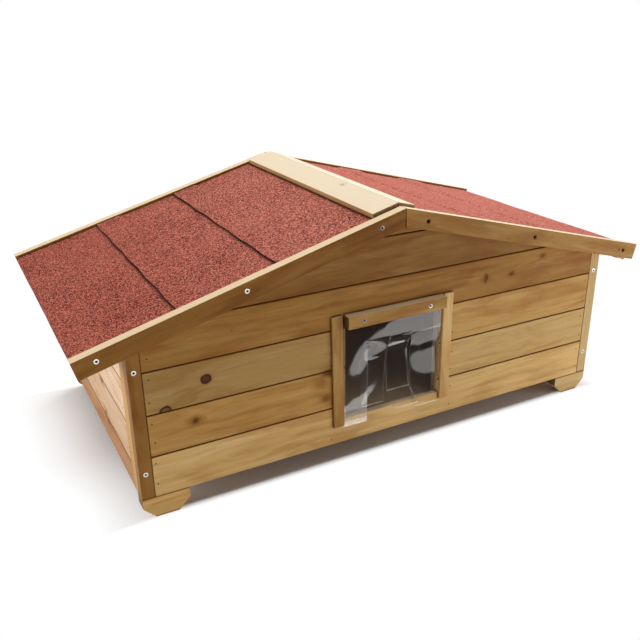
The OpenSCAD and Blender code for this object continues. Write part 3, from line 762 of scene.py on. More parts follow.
def put_mesh(name: str, points: np.ndarray, faces: np.ndarray | list, smooth: bool) -> bpy.types.Object:
    """Makes a linked object from points and faces, at the origin.

    Args:
        name: the piece's name.
        points: an array of n by 3 coordinates.
        faces: tuples or rows of point numbers.
        smooth: whether the faces are shaded smooth.

    Returns:
        The new object.
    """
    mesh = bpy.data.meshes.new(name)
    mesh.from_pydata(points.tolist(), [], [tuple(int(i) for i in f) for f in faces])
    mesh.polygons.foreach_set("use_smooth", np.full(len(mesh.polygons), smooth))
    mesh.update()
    made = bpy.data.objects.new(name, mesh)
    bpy.context.scene.collection.objects.link(made)
    return made


def grid_faces(rows: int, columns: int, wrap: bool = False, start: int = 0) -> np.ndarray:
    """Quads of a grid of points that are stored row by row.

    Args:
        rows: the number of rows.
        columns: the number of points in a row.
        wrap: whether the last column is joined to the first.
        start: the number of the grid's first point.

    Returns:
        An array of n by 4 point numbers.
    """
    here = columns * np.arange(rows - 1)[:, None]
    below = here + columns
    column = np.arange(columns if wrap else columns - 1)[None, :]
    after = (column + 1) % columns
    quads = np.stack([here + column, here + after, below + after, below + column], axis=-1)
    return quads.reshape(-1, 4) + start


def slab(centre: np.ndarray, thick: float, open_row: int | None = None) -> tuple[np.ndarray, np.ndarray]:
    """Closed slab round a grid surface: each point goes half the thickness either way along its normal.

    Args:
        centre: rows by columns by 3, the middle surface.
        thick: the slab's thickness.
        open_row: 0 or -1 where that row's rim is left out, because another sheet continues there.

    Returns:
        Points and quads, facing outwards.
    """
    rows, cols = centre.shape[:2]
    down, over = np.gradient(centre, axis=0), np.gradient(centre, axis=1)
    normal = np.cross(down, over)
    normal /= np.linalg.norm(normal, axis=2, keepdims=True)
    if open_row is not None:
        normal[open_row] = np.sign(normal[open_row, :, 1:2]) * np.array([0.0, 1.0, 0.0])
    count = rows * cols
    offset = normal * thick / 2
    points = np.concatenate([(centre + offset).reshape(-1, 3), (centre - offset).reshape(-1, 3)])
    top, bottom = np.arange(cols), count - cols + np.arange(cols)
    left, right = cols * np.arange(rows), cols * np.arange(rows) + cols - 1
    rims = {"left": left, "right": right[::-1], 0: top[::-1], -1: bottom}
    faces = [grid_faces(rows, cols)[:, ::-1], grid_faces(rows, cols, start=count)]
    for name, line in rims.items():
        if name != open_row:
            faces.append(np.stack([line[:-1], line[1:], line[1:] + count, line[:-1] + count], -1)[:, ::-1])
    return points, np.concatenate(faces)


def place_keys(points: np.ndarray) -> np.ndarray:
    """Rounds places to whole hundredths of a millimetre, so that equal ones can be found."""
    return np.round(points * 1e5).astype(np.int64)


def welded(points: np.ndarray, triangles: np.ndarray) -> tuple[np.ndarray, np.ndarray]:
    """Merges loose triangles: points that agree to a hundredth of a millimetre become one.

    Args:
        points: an array of n by 3 coordinates.
        triangles: an array of m by 3 point numbers.

    Returns:
        The points that are left, and the triangles that keep three corners.
    """
    _, first, back = np.unique(place_keys(points), axis=0, return_index=True, return_inverse=True)
    merged = back.reshape(-1)[triangles]
    good = (merged[:, 0] != merged[:, 1]) & (merged[:, 1] != merged[:, 2]) & (merged[:, 2] != merged[:, 0])
    return points[first], merged[good]


def islands(count: int, triangles: np.ndarray) -> np.ndarray:
    """Numbers the separate solids of a mesh: each point takes the least number that it can reach.

    Args:
        count: the number of points.
        triangles: an array of m by 3 point numbers.

    Returns:
        Each point's solid, from 0 up.
    """
    label = np.arange(count)
    ends = np.concatenate([triangles[:, [0, 1]], triangles[:, [1, 2]], triangles[:, [2, 0]]])
    while True:
        least = label.copy()
        np.minimum.at(least, ends[:, 0], label[ends[:, 1]])
        np.minimum.at(least, ends[:, 1], label[ends[:, 0]])
        least = least[least]
        if np.array_equal(least, label):
            return np.unique(label, return_inverse=True)[1]
        label = least


def node_mesh(node: str) -> tuple[np.ndarray, np.ndarray]:
    """Copies the mesh of a CAD node and welds it.

    Args:
        node: the node's name.

    Returns:
        Its points and its triangles.
    """
    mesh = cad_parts[node].data
    points = np.empty(len(mesh.vertices) * 3)
    mesh.vertices.foreach_get("co", points)
    mesh.calc_loop_triangles()
    triangles = np.empty(len(mesh.loop_triangles) * 3, np.int32)
    mesh.loop_triangles.foreach_get("vertices", triangles)
    return welded(points.reshape(-1, 3), triangles.reshape(-1, 3))


def vector_attribute(mesh: bpy.types.Mesh, name: str, values: np.ndarray) -> None:
    """Stores one vector for each point of a mesh.

    Args:
        mesh: the mesh.
        name: the attribute's name.
        values: an array of n by 3 numbers.
    """
    layer = mesh.attributes.new(name, "FLOAT_VECTOR", "POINT")
    layer.data.foreach_set("vector", values.astype(np.float32).ravel())


def scalar_attribute(mesh: bpy.types.Mesh, name: str, values: np.ndarray) -> None:
    """Stores one number for each point of a mesh.

    Args:
        mesh: the mesh.
        name: the attribute's name.
        values: one number for each point.
    """
    layer = mesh.attributes.new(name, "FLOAT", "POINT")
    layer.data.foreach_set("value", values.astype(np.float32))


@dataclass(frozen=True)
class Tone:
    """Colour of one piece: its share of amber, its brightness and the power that deepens its colour."""

    warmth: float = 0.0
    light: float = 0.0
    coats: float = 1.0


@dataclass
class Timber:
    """A piece, or a set of like pieces, of sawn and stained softwood, copied from its CAD node.

    The copy's flat faces are joined again, its arrises are eased with a bevel, and each separate
    length gets its own place in the tree: a point's grain vector is its distance along, across
    and through the board from the heart, plus a shift of its own. Uneven is how much the lengths
    of one set differ in brightness, flat the angle under which two faces count as one, and sharp
    the angle over which an edge counts as an arris.
    """

    node: str
    finish: str
    runs: tuple[Run, ...] = SQUARE_RUNS
    ease: float = 0.0007
    tone: Tone = Tone()
    seed: int = 0
    heart: float = 0.055
    uneven: float = 0.035
    flat: float = math.radians(0.6)
    sharp: float = math.radians(28)

    def build(self, materials: Materials, body: str, slot: str) -> bpy.types.Object:
        """Makes the piece, dresses it and lets it stand for its node.

        Args:
            materials: the finishes by name.
            body: the body that it rides on.
            slot: the material slot of its node; not used.

        Returns:
            The new piece.
        """
        points, triangles = node_mesh(self.node)
        label = islands(len(points), triangles)
        made = put_mesh(f"{self.node}_timber", points, triangles, False)
        self._join_flat_faces(made.data)
        count = len(made.data.vertices)
        kept = np.empty(count * 3)
        made.data.vertices.foreach_get("co", kept)
        kept = kept.reshape(-1, 3)
        nearest = self._labels_of(kept, points, label)
        grain, tone, run = np.zeros((count, 3)), np.zeros((count, 3)), np.zeros((count, 3))
        for part in np.unique(nearest):
            mine = nearest == part
            grain[mine], tone[mine], run[mine] = self._place_in_tree(kept[mine], part)
        for name, values in (("grain", grain), ("tone", tone), ("run", run)):
            vector_attribute(made.data, name, values)
        bevel = made.modifiers.new("eased_arris", "BEVEL")
        bevel.width, bevel.segments = self.ease, 2
        bevel.limit_method, bevel.angle_limit = "ANGLE", self.sharp
        bevel.harden_normals = False
        made.data.materials.append(materials[self.finish])
        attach(made, body)
        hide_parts(self.node)
        LOG.info("%s: %d lengths", made.name, label.max() + 1)
        return made

    def _join_flat_faces(self, mesh: bpy.types.Mesh) -> None:
        """Turns the triangles of each flat face back into one face.

        Args:
            mesh: the mesh to change.
        """
        work = bmesh.new()
        work.from_mesh(mesh)
        bmesh.ops.dissolve_limit(work, angle_limit=self.flat, verts=work.verts, edges=work.edges)
        work.to_mesh(mesh)
        work.free()

    @staticmethod
    def _labels_of(kept: np.ndarray, points: np.ndarray, label: np.ndarray) -> np.ndarray:
        """Finds the solid that each kept point belongs to, by its rounded place.

        Args:
            kept: the points that are left once the faces are joined.
            points: the points before that.
            label: the solid of each of the points before that.

        Returns:
            The solid of each kept point.
        """
        order = {tuple(key): solid for key, solid in zip(place_keys(points).tolist(), label.tolist())}
        return np.array([order.get(tuple(key), 0) for key in place_keys(kept).tolist()])

    def _place_in_tree(self, points: np.ndarray, part: int) -> tuple[np.ndarray, np.ndarray, np.ndarray]:
        """Gives one length its place in the tree, along whichever of its runs it is longest in.

        Args:
            points: the length's points.
            part: its number in the set.

        Returns:
            The grain, tone and run vectors of its points.
        """
        random = np.random.default_rng(1000 * self.seed + part + 7)
        best = max(self.runs, key=lambda run: np.ptp(points @ np.array(run.value)))
        along = np.array(best.value)
        facing = Run.ACROSS_FRONT if best is Run.FRONT_TO_BACK else Run.FRONT_TO_BACK
        through = np.array(facing.value)
        across = np.cross(through, along)
        middle = (points.min(0) + points.max(0)) / 2
        local = (points - middle) @ np.stack([along, across, through]).T
        local[:, 0] += random.uniform(-40, 40)
        local[:, 1] += random.uniform(-0.6, 0.6) * self.heart
        local[:, 2] += self.heart * random.uniform(0.8, 1.5)
        light = self.tone.light + random.uniform(-self.uneven, self.uneven)
        tone = np.array([self.tone.warmth, light, self.tone.coats])
        return local, np.tile(tone, (len(points), 1)), np.tile(along, (len(points), 1))


@dataclass
class CrossHeadScrews:
    """Countersunk screws with a cross recess, one for each solid of a CAD node.

    A head is a surface of revolution, and its top is lowered inside a cross. The tuples give where the
    cross's arms and its bowl end and where they have their full depth, where the recess is painted dark as
    shade. With the flag for the right heads set, the heads at the right of the front show only the sunk share
    of their width, all painted dark as shade in their holes, as in the photograph. A point of the CAD screw
    lies at its end when it is within end_slack of it.
    """

    node: str
    head_r: float = 0.00375
    shank_r: float = 0.00175
    dome: float = 0.00035
    recess: float = 0.0019
    arm: float = 0.00080
    arm_end: tuple[float, float] = (0.0024, 0.0019)
    bowl: tuple[float, float] = (0.0017, 0.0004)
    recess_r: float = 0.0026
    sunk_share: float = 0.47
    end_slack: float = 0.0002
    spokes: int = 48
    shaded_right: bool = False

    def build(self, material: bpy.types.Material, body: str) -> bpy.types.Object:
        """Makes all the screws of the node as one piece.

        Args:
            material: the steel.
            body: the body that they ride on.

        Returns:
            The new piece.
        """
        points, triangles = node_mesh(self.node)
        label = islands(len(points), triangles)
        all_points, all_faces, depths, start = [], [], [], 0
        for part in range(label.max() + 1):
            axis, outward, origin, length = self._lie(points[label == part])
            shape, faces = self._screw(length, turn=0.35 + 1.7 * part)
            radius = np.hypot(*shape[:, :2].T)
            # The share of the recess, which is painted dark as shade.
            depth = np.clip(2 * (self.dome - shape[:, 2]) / self.recess - 0.5, 0, 1)
            depth = depth * (radius < self.recess_r)
            # The heads at the right of the front: narrowed, and all painted dark as shade in their holes.
            if self.shaded_right and origin[0] > 0 and origin[1] < 0:
                depth = np.ones(len(shape))
                shape[:, :2] *= np.where(radius > self.shank_r, self.sunk_share, 1.0)[:, None]
            all_points.append(shape @ self._axes(axis, outward) + origin)
            all_faces.append(faces + start)
            depths.append(depth)
            start += len(shape)
        faces = unfold_quads(np.concatenate(all_faces))
        made = put_mesh(f"{self.node}_crossheads", np.concatenate(all_points), faces, True)
        scalar_attribute(made.data, "deep", np.concatenate(depths))
        made.data.materials.append(material)
        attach(made, body)
        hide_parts(self.node)
        LOG.info("%s: %d screws", made.name, label.max() + 1)
        return made

    def _lie(self, mine: np.ndarray) -> tuple[int, float, np.ndarray, float]:
        """Finds how a CAD screw lies: its head is at the end where its points reach out further.

        Args:
            mine: the screw's points.

        Returns:
            The frame's axis that it lies along, 1 or -1 as its head faces up or down that axis,
            the middle of its head's face, and its length.
        """
        low, high = mine.min(0), mine.max(0)
        axis = int(np.argmax(high - low))
        origin = (low + high) / 2
        near_low = np.abs(mine[:, axis] - low[axis]) < self.end_slack
        wide = np.hypot(*(np.delete(mine[near_low], axis, 1) - np.delete(origin, axis)).T).max()
        outward = -1.0 if wide > 0.6 * self.head_r else 1.0
        origin[axis] = low[axis] if outward < 0 else high[axis]
        return axis, outward, origin, float(high[axis] - low[axis])

    @staticmethod
    def _axes(axis: int, outward: float) -> np.ndarray:
        """Turns a screw's own x, y and outward z to the frame, without mirroring it.

        Args:
            axis: the frame's axis that the screw lies along.
            outward: 1 where its head faces up that axis and -1 where it faces down.

        Returns:
            The three directions as rows.
        """
        up = np.zeros(3)
        up[axis] = outward
        side = np.roll(np.array([1.0, 0.0, 0.0]), (axis + 1) % 3)
        return np.stack([side, np.cross(up, side), up])

    def _screw(self, length: float, turn: float) -> tuple[np.ndarray, np.ndarray]:
        """One screw with its head's face at height 0.

        The head is a dome, lower by the square of the radius. Each arm of the cross is a smooth
        step in the distance to the side of its middle line, times one in the distance along it,
        and the cross is deepest in the middle.

        Args:
            length: how far the screw reaches down.
            turn: the angle that its cross is turned by.

        Returns:
            Its points and its quads, some of which stand for a triangle by a repeated corner.
        """
        angle = np.linspace(0, 2 * math.pi, self.spokes, endpoint=False) + turn
        radius = np.linspace(0.0, 1.0, 16)[1:, None] * self.head_r
        x, y = radius * np.cos(angle), radius * np.sin(angle)
        u, v = np.abs(radius * np.cos(angle - turn)), np.abs(radius * np.sin(angle - turn))
        wide, narrow = self.arm * 1.25, self.arm * 0.8
        one_arm = self._step(wide, narrow, v) * self._step(*self.arm_end, u)
        other_arm = self._step(wide, narrow, u) * self._step(*self.arm_end, v)
        arms = np.maximum(one_arm, other_arm)
        bowl = self._step(*self.bowl, radius)
        top = self.dome * (1 - (radius / self.head_r) ** 2) - arms * self.recess * (0.45 + 0.55 * bowl)
        tops = np.stack([x, y, np.broadcast_to(top, x.shape)], -1)
        rim_r = np.array([self.head_r, self.head_r * 0.97, self.shank_r, self.shank_r, 0.0004])[:, None]
        rim_z = np.array([-0.00025, -0.0005, -0.0024, -length + 0.005, -length])[:, None]
        rim_x, rim_y = rim_r * np.cos(angle), rim_r * np.sin(angle)
        sides = np.stack([rim_x, rim_y, np.broadcast_to(rim_z, rim_x.shape)], -1)
        rings = np.concatenate([tops, sides])
        hub_and_tip = np.array([[0.0, 0.0, self.dome - self.recess], [0.0, 0.0, -length]])
        points = np.concatenate([rings.reshape(-1, 3), hub_and_tip])
        quads = grid_faces(len(rings), self.spokes, wrap=True)[:, ::-1]
        first = np.arange(self.spokes)
        after = (first + 1) % self.spokes
        last = (len(rings) - 1) * self.spokes
        hub = np.full(self.spokes, last + self.spokes)
        cap = np.stack([hub, first, after, after], -1)
        tail = np.stack([hub + 1, last + after, last + first, last + first], -1)
        return points, np.concatenate([quads, cap, tail])

    @staticmethod
    def _step(far: float, near: float, value: np.ndarray) -> np.ndarray:
        """Smooth step, three times the square of the share less twice its cube.

        Args:
            far: where it reaches 0.
            near: where it reaches 1.
            value: the distances.

        Returns:
            The step at each of them.
        """
        share = np.clip((far - value) / (far - near), 0, 1)
        return share * share * (3 - 2 * share)


def unfold_quads(faces: np.ndarray) -> list[tuple[int, ...]]:
    """Drops the repeated corner of a quad that stands for a triangle."""
    return [tuple(f[:3]) if f[2] == f[3] else tuple(f) for f in faces.tolist()]


@dataclass
class Brads:
    """Small nail heads set just under the face of the boards.

    Each is a low dome of a few sides: three rings of points, from under the face to its crown.
    """

    name: str
    places: np.ndarray
    outward: np.ndarray
    radius: float = 0.0012
    crown: float = 0.00024
    sides: int = 8

    def build(self, material: bpy.types.Material, body: str) -> bpy.types.Object:
        """Makes all the heads as one piece.

        Args:
            material: the dull steel.
            body: the body that they ride on.

        Returns:
            The new piece.
        """
        angle = np.linspace(0, 2 * math.pi, self.sides, endpoint=False)
        ring_r = np.array([1.15, 1.0, 0.55])[:, None] * self.radius
        ring_h = np.array([-0.0006, 0.00005, 0.0002])[:, None]
        x, y = ring_r * np.cos(angle), ring_r * np.sin(angle)
        local = np.stack([x, y, np.broadcast_to(ring_h, x.shape)], -1).reshape(-1, 3)
        local = np.concatenate([local, [[0, 0, self.crown]]])
        side = np.cross(self.outward, np.roll(self.outward, 1, axis=1) + 0.13)
        side /= np.linalg.norm(side, axis=1, keepdims=True)
        other = np.cross(self.outward, side)
        basis = np.stack([side, other, self.outward], 1)
        points = np.einsum("kj,njc->nkc", local, basis) + self.places[:, None, :]
        quads = grid_faces(3, self.sides, wrap=True)
        top_ring = 2 * self.sides + np.arange(self.sides)
        middle = np.full(self.sides, 3 * self.sides)
        fan = np.stack([top_ring, np.roll(top_ring, -1), middle, middle], -1)
        one = np.concatenate([quads, fan])
        faces = (one[None] + len(local) * np.arange(len(self.places))[:, None, None]).reshape(-1, 4)
        made = put_mesh(self.name, points.reshape(-1, 3), unfold_quads(faces), True)
        made.data.materials.append(material)
        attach(made, body)
        LOG.info("%s: %d heads", self.name, len(self.places))
        return made


@dataclass
class FeltCourse:
    """A course of roofing felt, carried from front to back along a path down the slope.

    The path is given as distances down the slope and heights over the roof panel. The sheet's face
    waves by a sum of two sines, the ripples, and towards its free edge it lifts by the size of a
    slow sine, the swell. That edge runs in and out by a quick sine, the frill. The underside and
    the cut sides are marked for the bitumen's black. Lip is how far the barge boards' tops stand
    over the panel, free the length of the free edge, and step the greatest distance of two rows.
    """

    node: str
    side: int
    path_s: tuple[float, ...]
    path_h: tuple[float, ...]
    fold: bool = False
    thick: float = 0.0024
    reach: float = 0.2503
    lip: float = 0.007
    ripples: tuple[float, float] = (0.00022, 0.00018)
    swell: float = 0.0007
    frill: float = 0.0008
    free: float = 0.03
    step: float = 0.006
    columns: int = 90

    def build(self, material: bpy.types.Material) -> bpy.types.Object:
        """Makes the course as a closed slab.

        Args:
            material: the felt's finish.

        Returns:
            The new piece.
        """
        s, h = self._path()
        y = np.linspace(-self.reach, self.reach, self.columns)
        grid_s, grid_y = np.meshgrid(s, y, indexing="ij")
        grid_h = np.broadcast_to(h[:, None], grid_s.shape)
        free = self._free_edge(s)[:, None]
        wave = self.ripples[0] * np.sin(17 * grid_y + 31 * grid_s)
        wave = wave + self.ripples[1] * np.sin(43 * grid_y - 23 * grid_s + self.side)
        wave = wave + free * self.swell * np.abs(np.sin(9.0 * grid_y + 2.0 * self.side + len(self.node)))
        frilled = grid_s + free * self.frill * np.sin(61 * grid_y + 5 * self.side)
        ds, dh = np.gradient(s)[:, None], np.gradient(h)[:, None]
        size = np.hypot(ds, dh)
        lift = self.thick + wave
        top = self._points(frilled - dh / size * lift, grid_h + ds / size * lift, grid_y)
        low = self._points(frilled, grid_h, grid_y)
        rows, cols = grid_s.shape
        count = rows * cols
        points = np.concatenate([top, low])
        faces = [grid_faces(rows, cols), grid_faces(rows, cols, start=count)[:, ::-1], self._rim(rows, cols)]
        made = put_mesh(f"{self.node}_sheet", points, np.concatenate(faces), True)
        if self.side < 0:
            made.data.flip_normals()
        cut = np.zeros(2 * count)
        cut[count:] = 1.0
        scalar_attribute(made.data, "cut", cut)
        made.data.set_sharp_from_angle(angle=math.radians(50))
        made.data.materials.append(material)
        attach(made, "roof")
        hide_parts(self.node)
        LOG.info("%s: %d by %d", made.name, rows, cols)
        return made

    @staticmethod
    def _rim(rows: int, cols: int) -> np.ndarray:
        """Quads that close the slab between its two faces, all round.

        Args:
            rows: the number of rows of one face.
            cols: the number of points in a row.

        Returns:
            An array of n by 4 point numbers.
        """
        count = rows * cols
        first, last = np.arange(cols), count - cols + np.arange(cols - 2, -1, -1)
        down, back = cols * np.arange(1, rows) + cols - 1, cols * np.arange(rows - 2, 0, -1)
        border = np.concatenate([first, down, last, back])
        after = np.roll(border, -1)
        return np.stack([after, border, border + count, after + count], -1)

    def _path(self) -> tuple[np.ndarray, np.ndarray]:
        """The path at even steps, with its own corners kept.

        Returns:
            The distances down the slope, and the heights.
        """
        s, h = np.array(self.path_s), np.array(self.path_h)
        gone = np.concatenate([[0], np.cumsum(np.hypot(np.diff(s), np.diff(h)))])
        even = np.linspace(0, gone[-1], int(gone[-1] / self.step) + 2)
        steps = np.unique(np.concatenate([even, gone]))
        return np.interp(steps, gone, s), np.interp(steps, gone, h)

    def _free_edge(self, s: np.ndarray) -> np.ndarray:
        """Weight that rises by a square to 1 over the free length before a lapped course's lower edge.

        Args:
            s: the distances down the slope.

        Returns:
            The weight at each of them, which is 0 all along a course that is folded down.
        """
        if self.fold:
            return np.zeros_like(s)
        return np.clip((s - s.max() + self.free) / self.free, 0, 1) ** 2

    def _points(self, s: np.ndarray, h: np.ndarray, y: np.ndarray) -> np.ndarray:
        """Puts the grid into the frame.

        Args:
            s: the distances down the slope.
            h: the heights over the panel.
            y: the places from front to back.

        Returns:
            An array of n by 3 coordinates.
        """
        x, z = slope_point(self.side, s, h - self.lip)
        return np.stack([x, y, z], -1).reshape(-1, 3)


def finish_clear_sheet(sheet: bpy.types.Object, material: bpy.types.Material) -> None:
    """Gives a clear sheet its material, sharp rims and no shadow, because light passes through it.

    Args:
        sheet: the piece to dress.
        material: the clear finish.
    """
    sheet.data.materials.append(material)
    rims = sheet.modifiers.new("sharp_rims", "EDGE_SPLIT")
    rims.split_angle = math.radians(60)
    sheet.visible_shadow = False


@dataclass
class CurtainStrip:
    """One strip of the slit sheet, as a surface over its width and its length.

    A point's depth behind the wall's face rises as a sine to the power softness, to its greatest at the share
    belly_at of the length, and falls as a power of what is left. The strip's left edge lies deeper by the
    twist and curls in over its last millimetres, and its end may turn outward past kick_at. Its lower edge,
    and less so its slit edges, look milky where the cut scatters light. Length is the length that it was cut
    to, below the band, and bend the height of the part that gives when it swings; neither is used.
    """

    number: int
    left: float
    right: float
    low_z: float
    length: float = 0.148
    belly: float = 0.0
    belly_at: float = 0.4
    softness: float = 2.0
    end_depth: float = 0.0
    twist: float = 0.0
    curl: float = 0.0
    kick: float = 0.0
    kick_at: float = 0.82
    left_lean: float = 0.0
    right_lean: float = 0.0
    top_z: float = 0.2145
    face: float = -0.2508
    thick: float = 0.001
    milky: float = 0.0012
    slit_milk: float = 0.15
    bend: float = 0.045
    rows: int = 96
    columns: int = 30

    def build(self, material: bpy.types.Material) -> bpy.types.Object:
        """Makes the strip, bowing out from the foot of the band.

        Args:
            material: the clear finish.

        Returns:
            The new piece.
        """
        t = np.linspace(0, 1, self.rows)[:, None] ** 1.2
        u = np.linspace(0, 1, self.columns)[None, :] ** 1.25
        left = self.left + self.left_lean * t**2
        right = self.right + self.right_lean * t**2
        x = left + (right - left) * u
        z = self.top_z + (self.low_z - self.top_z) * t + 0 * u
        points, faces = slab(np.stack([x, self.face + self._depth(t, u), z], -1), self.thick, open_row=0)
        made = put_mesh(f"curtain_strip_{self.number}_sheet", points, faces, True)
        beside = np.minimum(u, 1 - u) * (self.right - self.left) + 0 * t
        above = (1 - t) * (self.top_z - self.low_z) + 0 * u
        slit_edge = self.slit_milk * np.clip(1 - beside / self.milky, 0, 1)
        edge = np.maximum(slit_edge, np.clip(1 - above / self.milky, 0, 1)).ravel()
        scalar_attribute(made.data, "edge", np.concatenate([edge, edge]))
        finish_clear_sheet(made, material)
        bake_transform(made)
        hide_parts(f"curtain_strip_{self.number}")
        LOG.info("%s: %.1f mm wide", made.name, 1000 * (self.right - self.left))
        return made

    def _depth(self, t: np.ndarray, u: np.ndarray) -> np.ndarray:
        """Depth behind the wall's face, by the formula of the class.

        Args:
            t: the share of the length, from the top down.
            u: the share of the width, from the left.

        Returns:
            The depth, which is negative in front of the face.
        """
        rise = np.sin(math.pi / 2 * np.clip(t / self.belly_at, 0, 1)) ** self.softness
        low_end = self.kick_at if self.kick else 1
        fall = np.clip((t - self.belly_at) / (low_end - self.belly_at), 0, 1) ** 1.3
        edge = self.twist * (0.5 - u) + self.curl * np.clip(1 - u / 0.22, 0, 1) ** 2
        bow = (self.belly + edge) * rise * (1 - fall) + self.end_depth * fall
        turned = np.clip((t - self.kick_at) / (1 - self.kick_at), 0, 1) ** 1.06
        return bow - self.kick * turned


# Tones of the pieces: their stain and, in their brightness, painted light and shade. The upper front boards,
# under the roof's overhang, are painted darker and deeper than the lowest one. The side boards grow darker
# and deeper towards the foot of the wall.
FRONT_TONES = {
    "front_board_1": Tone(0.0, 0.32, 0.88),
    "front_board_2_left": Tone(0.15, 0.20, 1.17),
    "front_board_2_right": Tone(0.0, 0.06, 0.90),
    "front_board_3_left": Tone(0.15, -0.12, 1.0),
    "front_board_3_right": Tone(0.08, 0.20, 1.08),
    "front_board_4": Tone(0.22, 0.02, 1.36),
    "front_board_5": Tone(0.35, -0.13, 1.32),
    "front_board_6": Tone(0.35, -0.10, 1.32),
}

SIDE_TONES = (Tone(0.30, 0.16, 1.65), Tone(0.1, 0.02, 1.0), Tone(0.05, 0.04, 0.85), Tone(0.0, 0.05, 0.6))

BATTEN_TONES = {
    "front_left_stile": Tone(0.3, -0.08, 1.38),
    "front_right_stile": Tone(0.0, 0.03, 0.74),
    "back_stiles": Tone(0.2, 0.0, 1.0),
    "left_wall_stiles": Tone(0.0, 0.20, 1.15),
    "right_wall_stiles": Tone(0.1, 0.05, 1.0),
    "front_left_foot": Tone(0.05, 0.42, 0.95),
    "front_right_foot": Tone(0.0, 0.04, 0.72),
    "back_left_foot": Tone(0.1, 0.1, 1.0),
    "back_right_foot": Tone(0.1, 0.1, 1.0),
    "door_left_trim": Tone(0.1, 0.04, 1.12),
    "door_right_trim": Tone(0.0, 0.20, 0.88),
    "door_header": Tone(0.0, -0.02, 1.18),
}

BARGE_TONES = {
    "barge_front_left": Tone(0.35, -0.08, 1.55),
    "barge_front_right": Tone(0.25, 0.01, 1.2),
    "barge_back_left": Tone(0.25, 0.01, 1.2),
    "barge_back_right": Tone(0.25, 0.01, 1.2),
}


@dataclass
class Walls:
    """Boards, stiles, battens, floor and feet.

    Its sizes are how far the arrises of each kind are eased, and how far from the tree's heart a
    batten was cut.
    """

    materials: Materials
    batten_ease: float = 0.0009
    foot_ease: float = 0.0016
    panel_ease: float = 0.0004
    batten_heart: float = 0.03

    def build(self) -> None:
        """Makes every piece of timber below the roof."""
        for seed, (node, tone) in enumerate(FRONT_TONES.items()):
            self._piece(Timber(node, "front_boarding", tone=tone, seed=seed))
        self._piece(Timber("back_boards", "front_boarding", tone=Tone(warmth=0.2), seed=20))
        for side, first_seed in (("left", 31), ("right", 41)):
            for number, tone in enumerate(SIDE_TONES):
                node = f"{side}_wall_board_{number + 1}"
                self._piece(Timber(node, "side_boarding", tone=tone, seed=first_seed + number))
        for seed, (node, tone) in enumerate(BATTEN_TONES.items(), 60):
            ease = self.foot_ease if node.endswith("foot") else self.batten_ease
            self._batten(node, "stained_battens", seed, tone=tone, ease=ease)
        inner = ("corner_battens", "door_jamb_battens", "side_wall_battens", "floor_bearers")
        for seed, node in enumerate(inner, 80):
            self._batten(node, "inner_battens", seed)
        self._batten("rake_battens", "inner_battens", 86, runs=(Run.LEFT_SLOPE, Run.RIGHT_SLOPE))
        self._piece(Timber("floor_panel", "board_panels", seed=90, ease=self.panel_ease))

    def _batten(self, node: str, finish: str, seed: int, **settings: object) -> None:
        """Builds one batten, or a set of them, cut near the heart of the tree."""
        self._piece(Timber(node, finish, seed=seed, heart=self.batten_heart, **settings))

    def _piece(self, timber: Timber) -> None:
        """Builds one piece of the house with its finish."""
        timber.build(self.materials, "house", timber.finish)


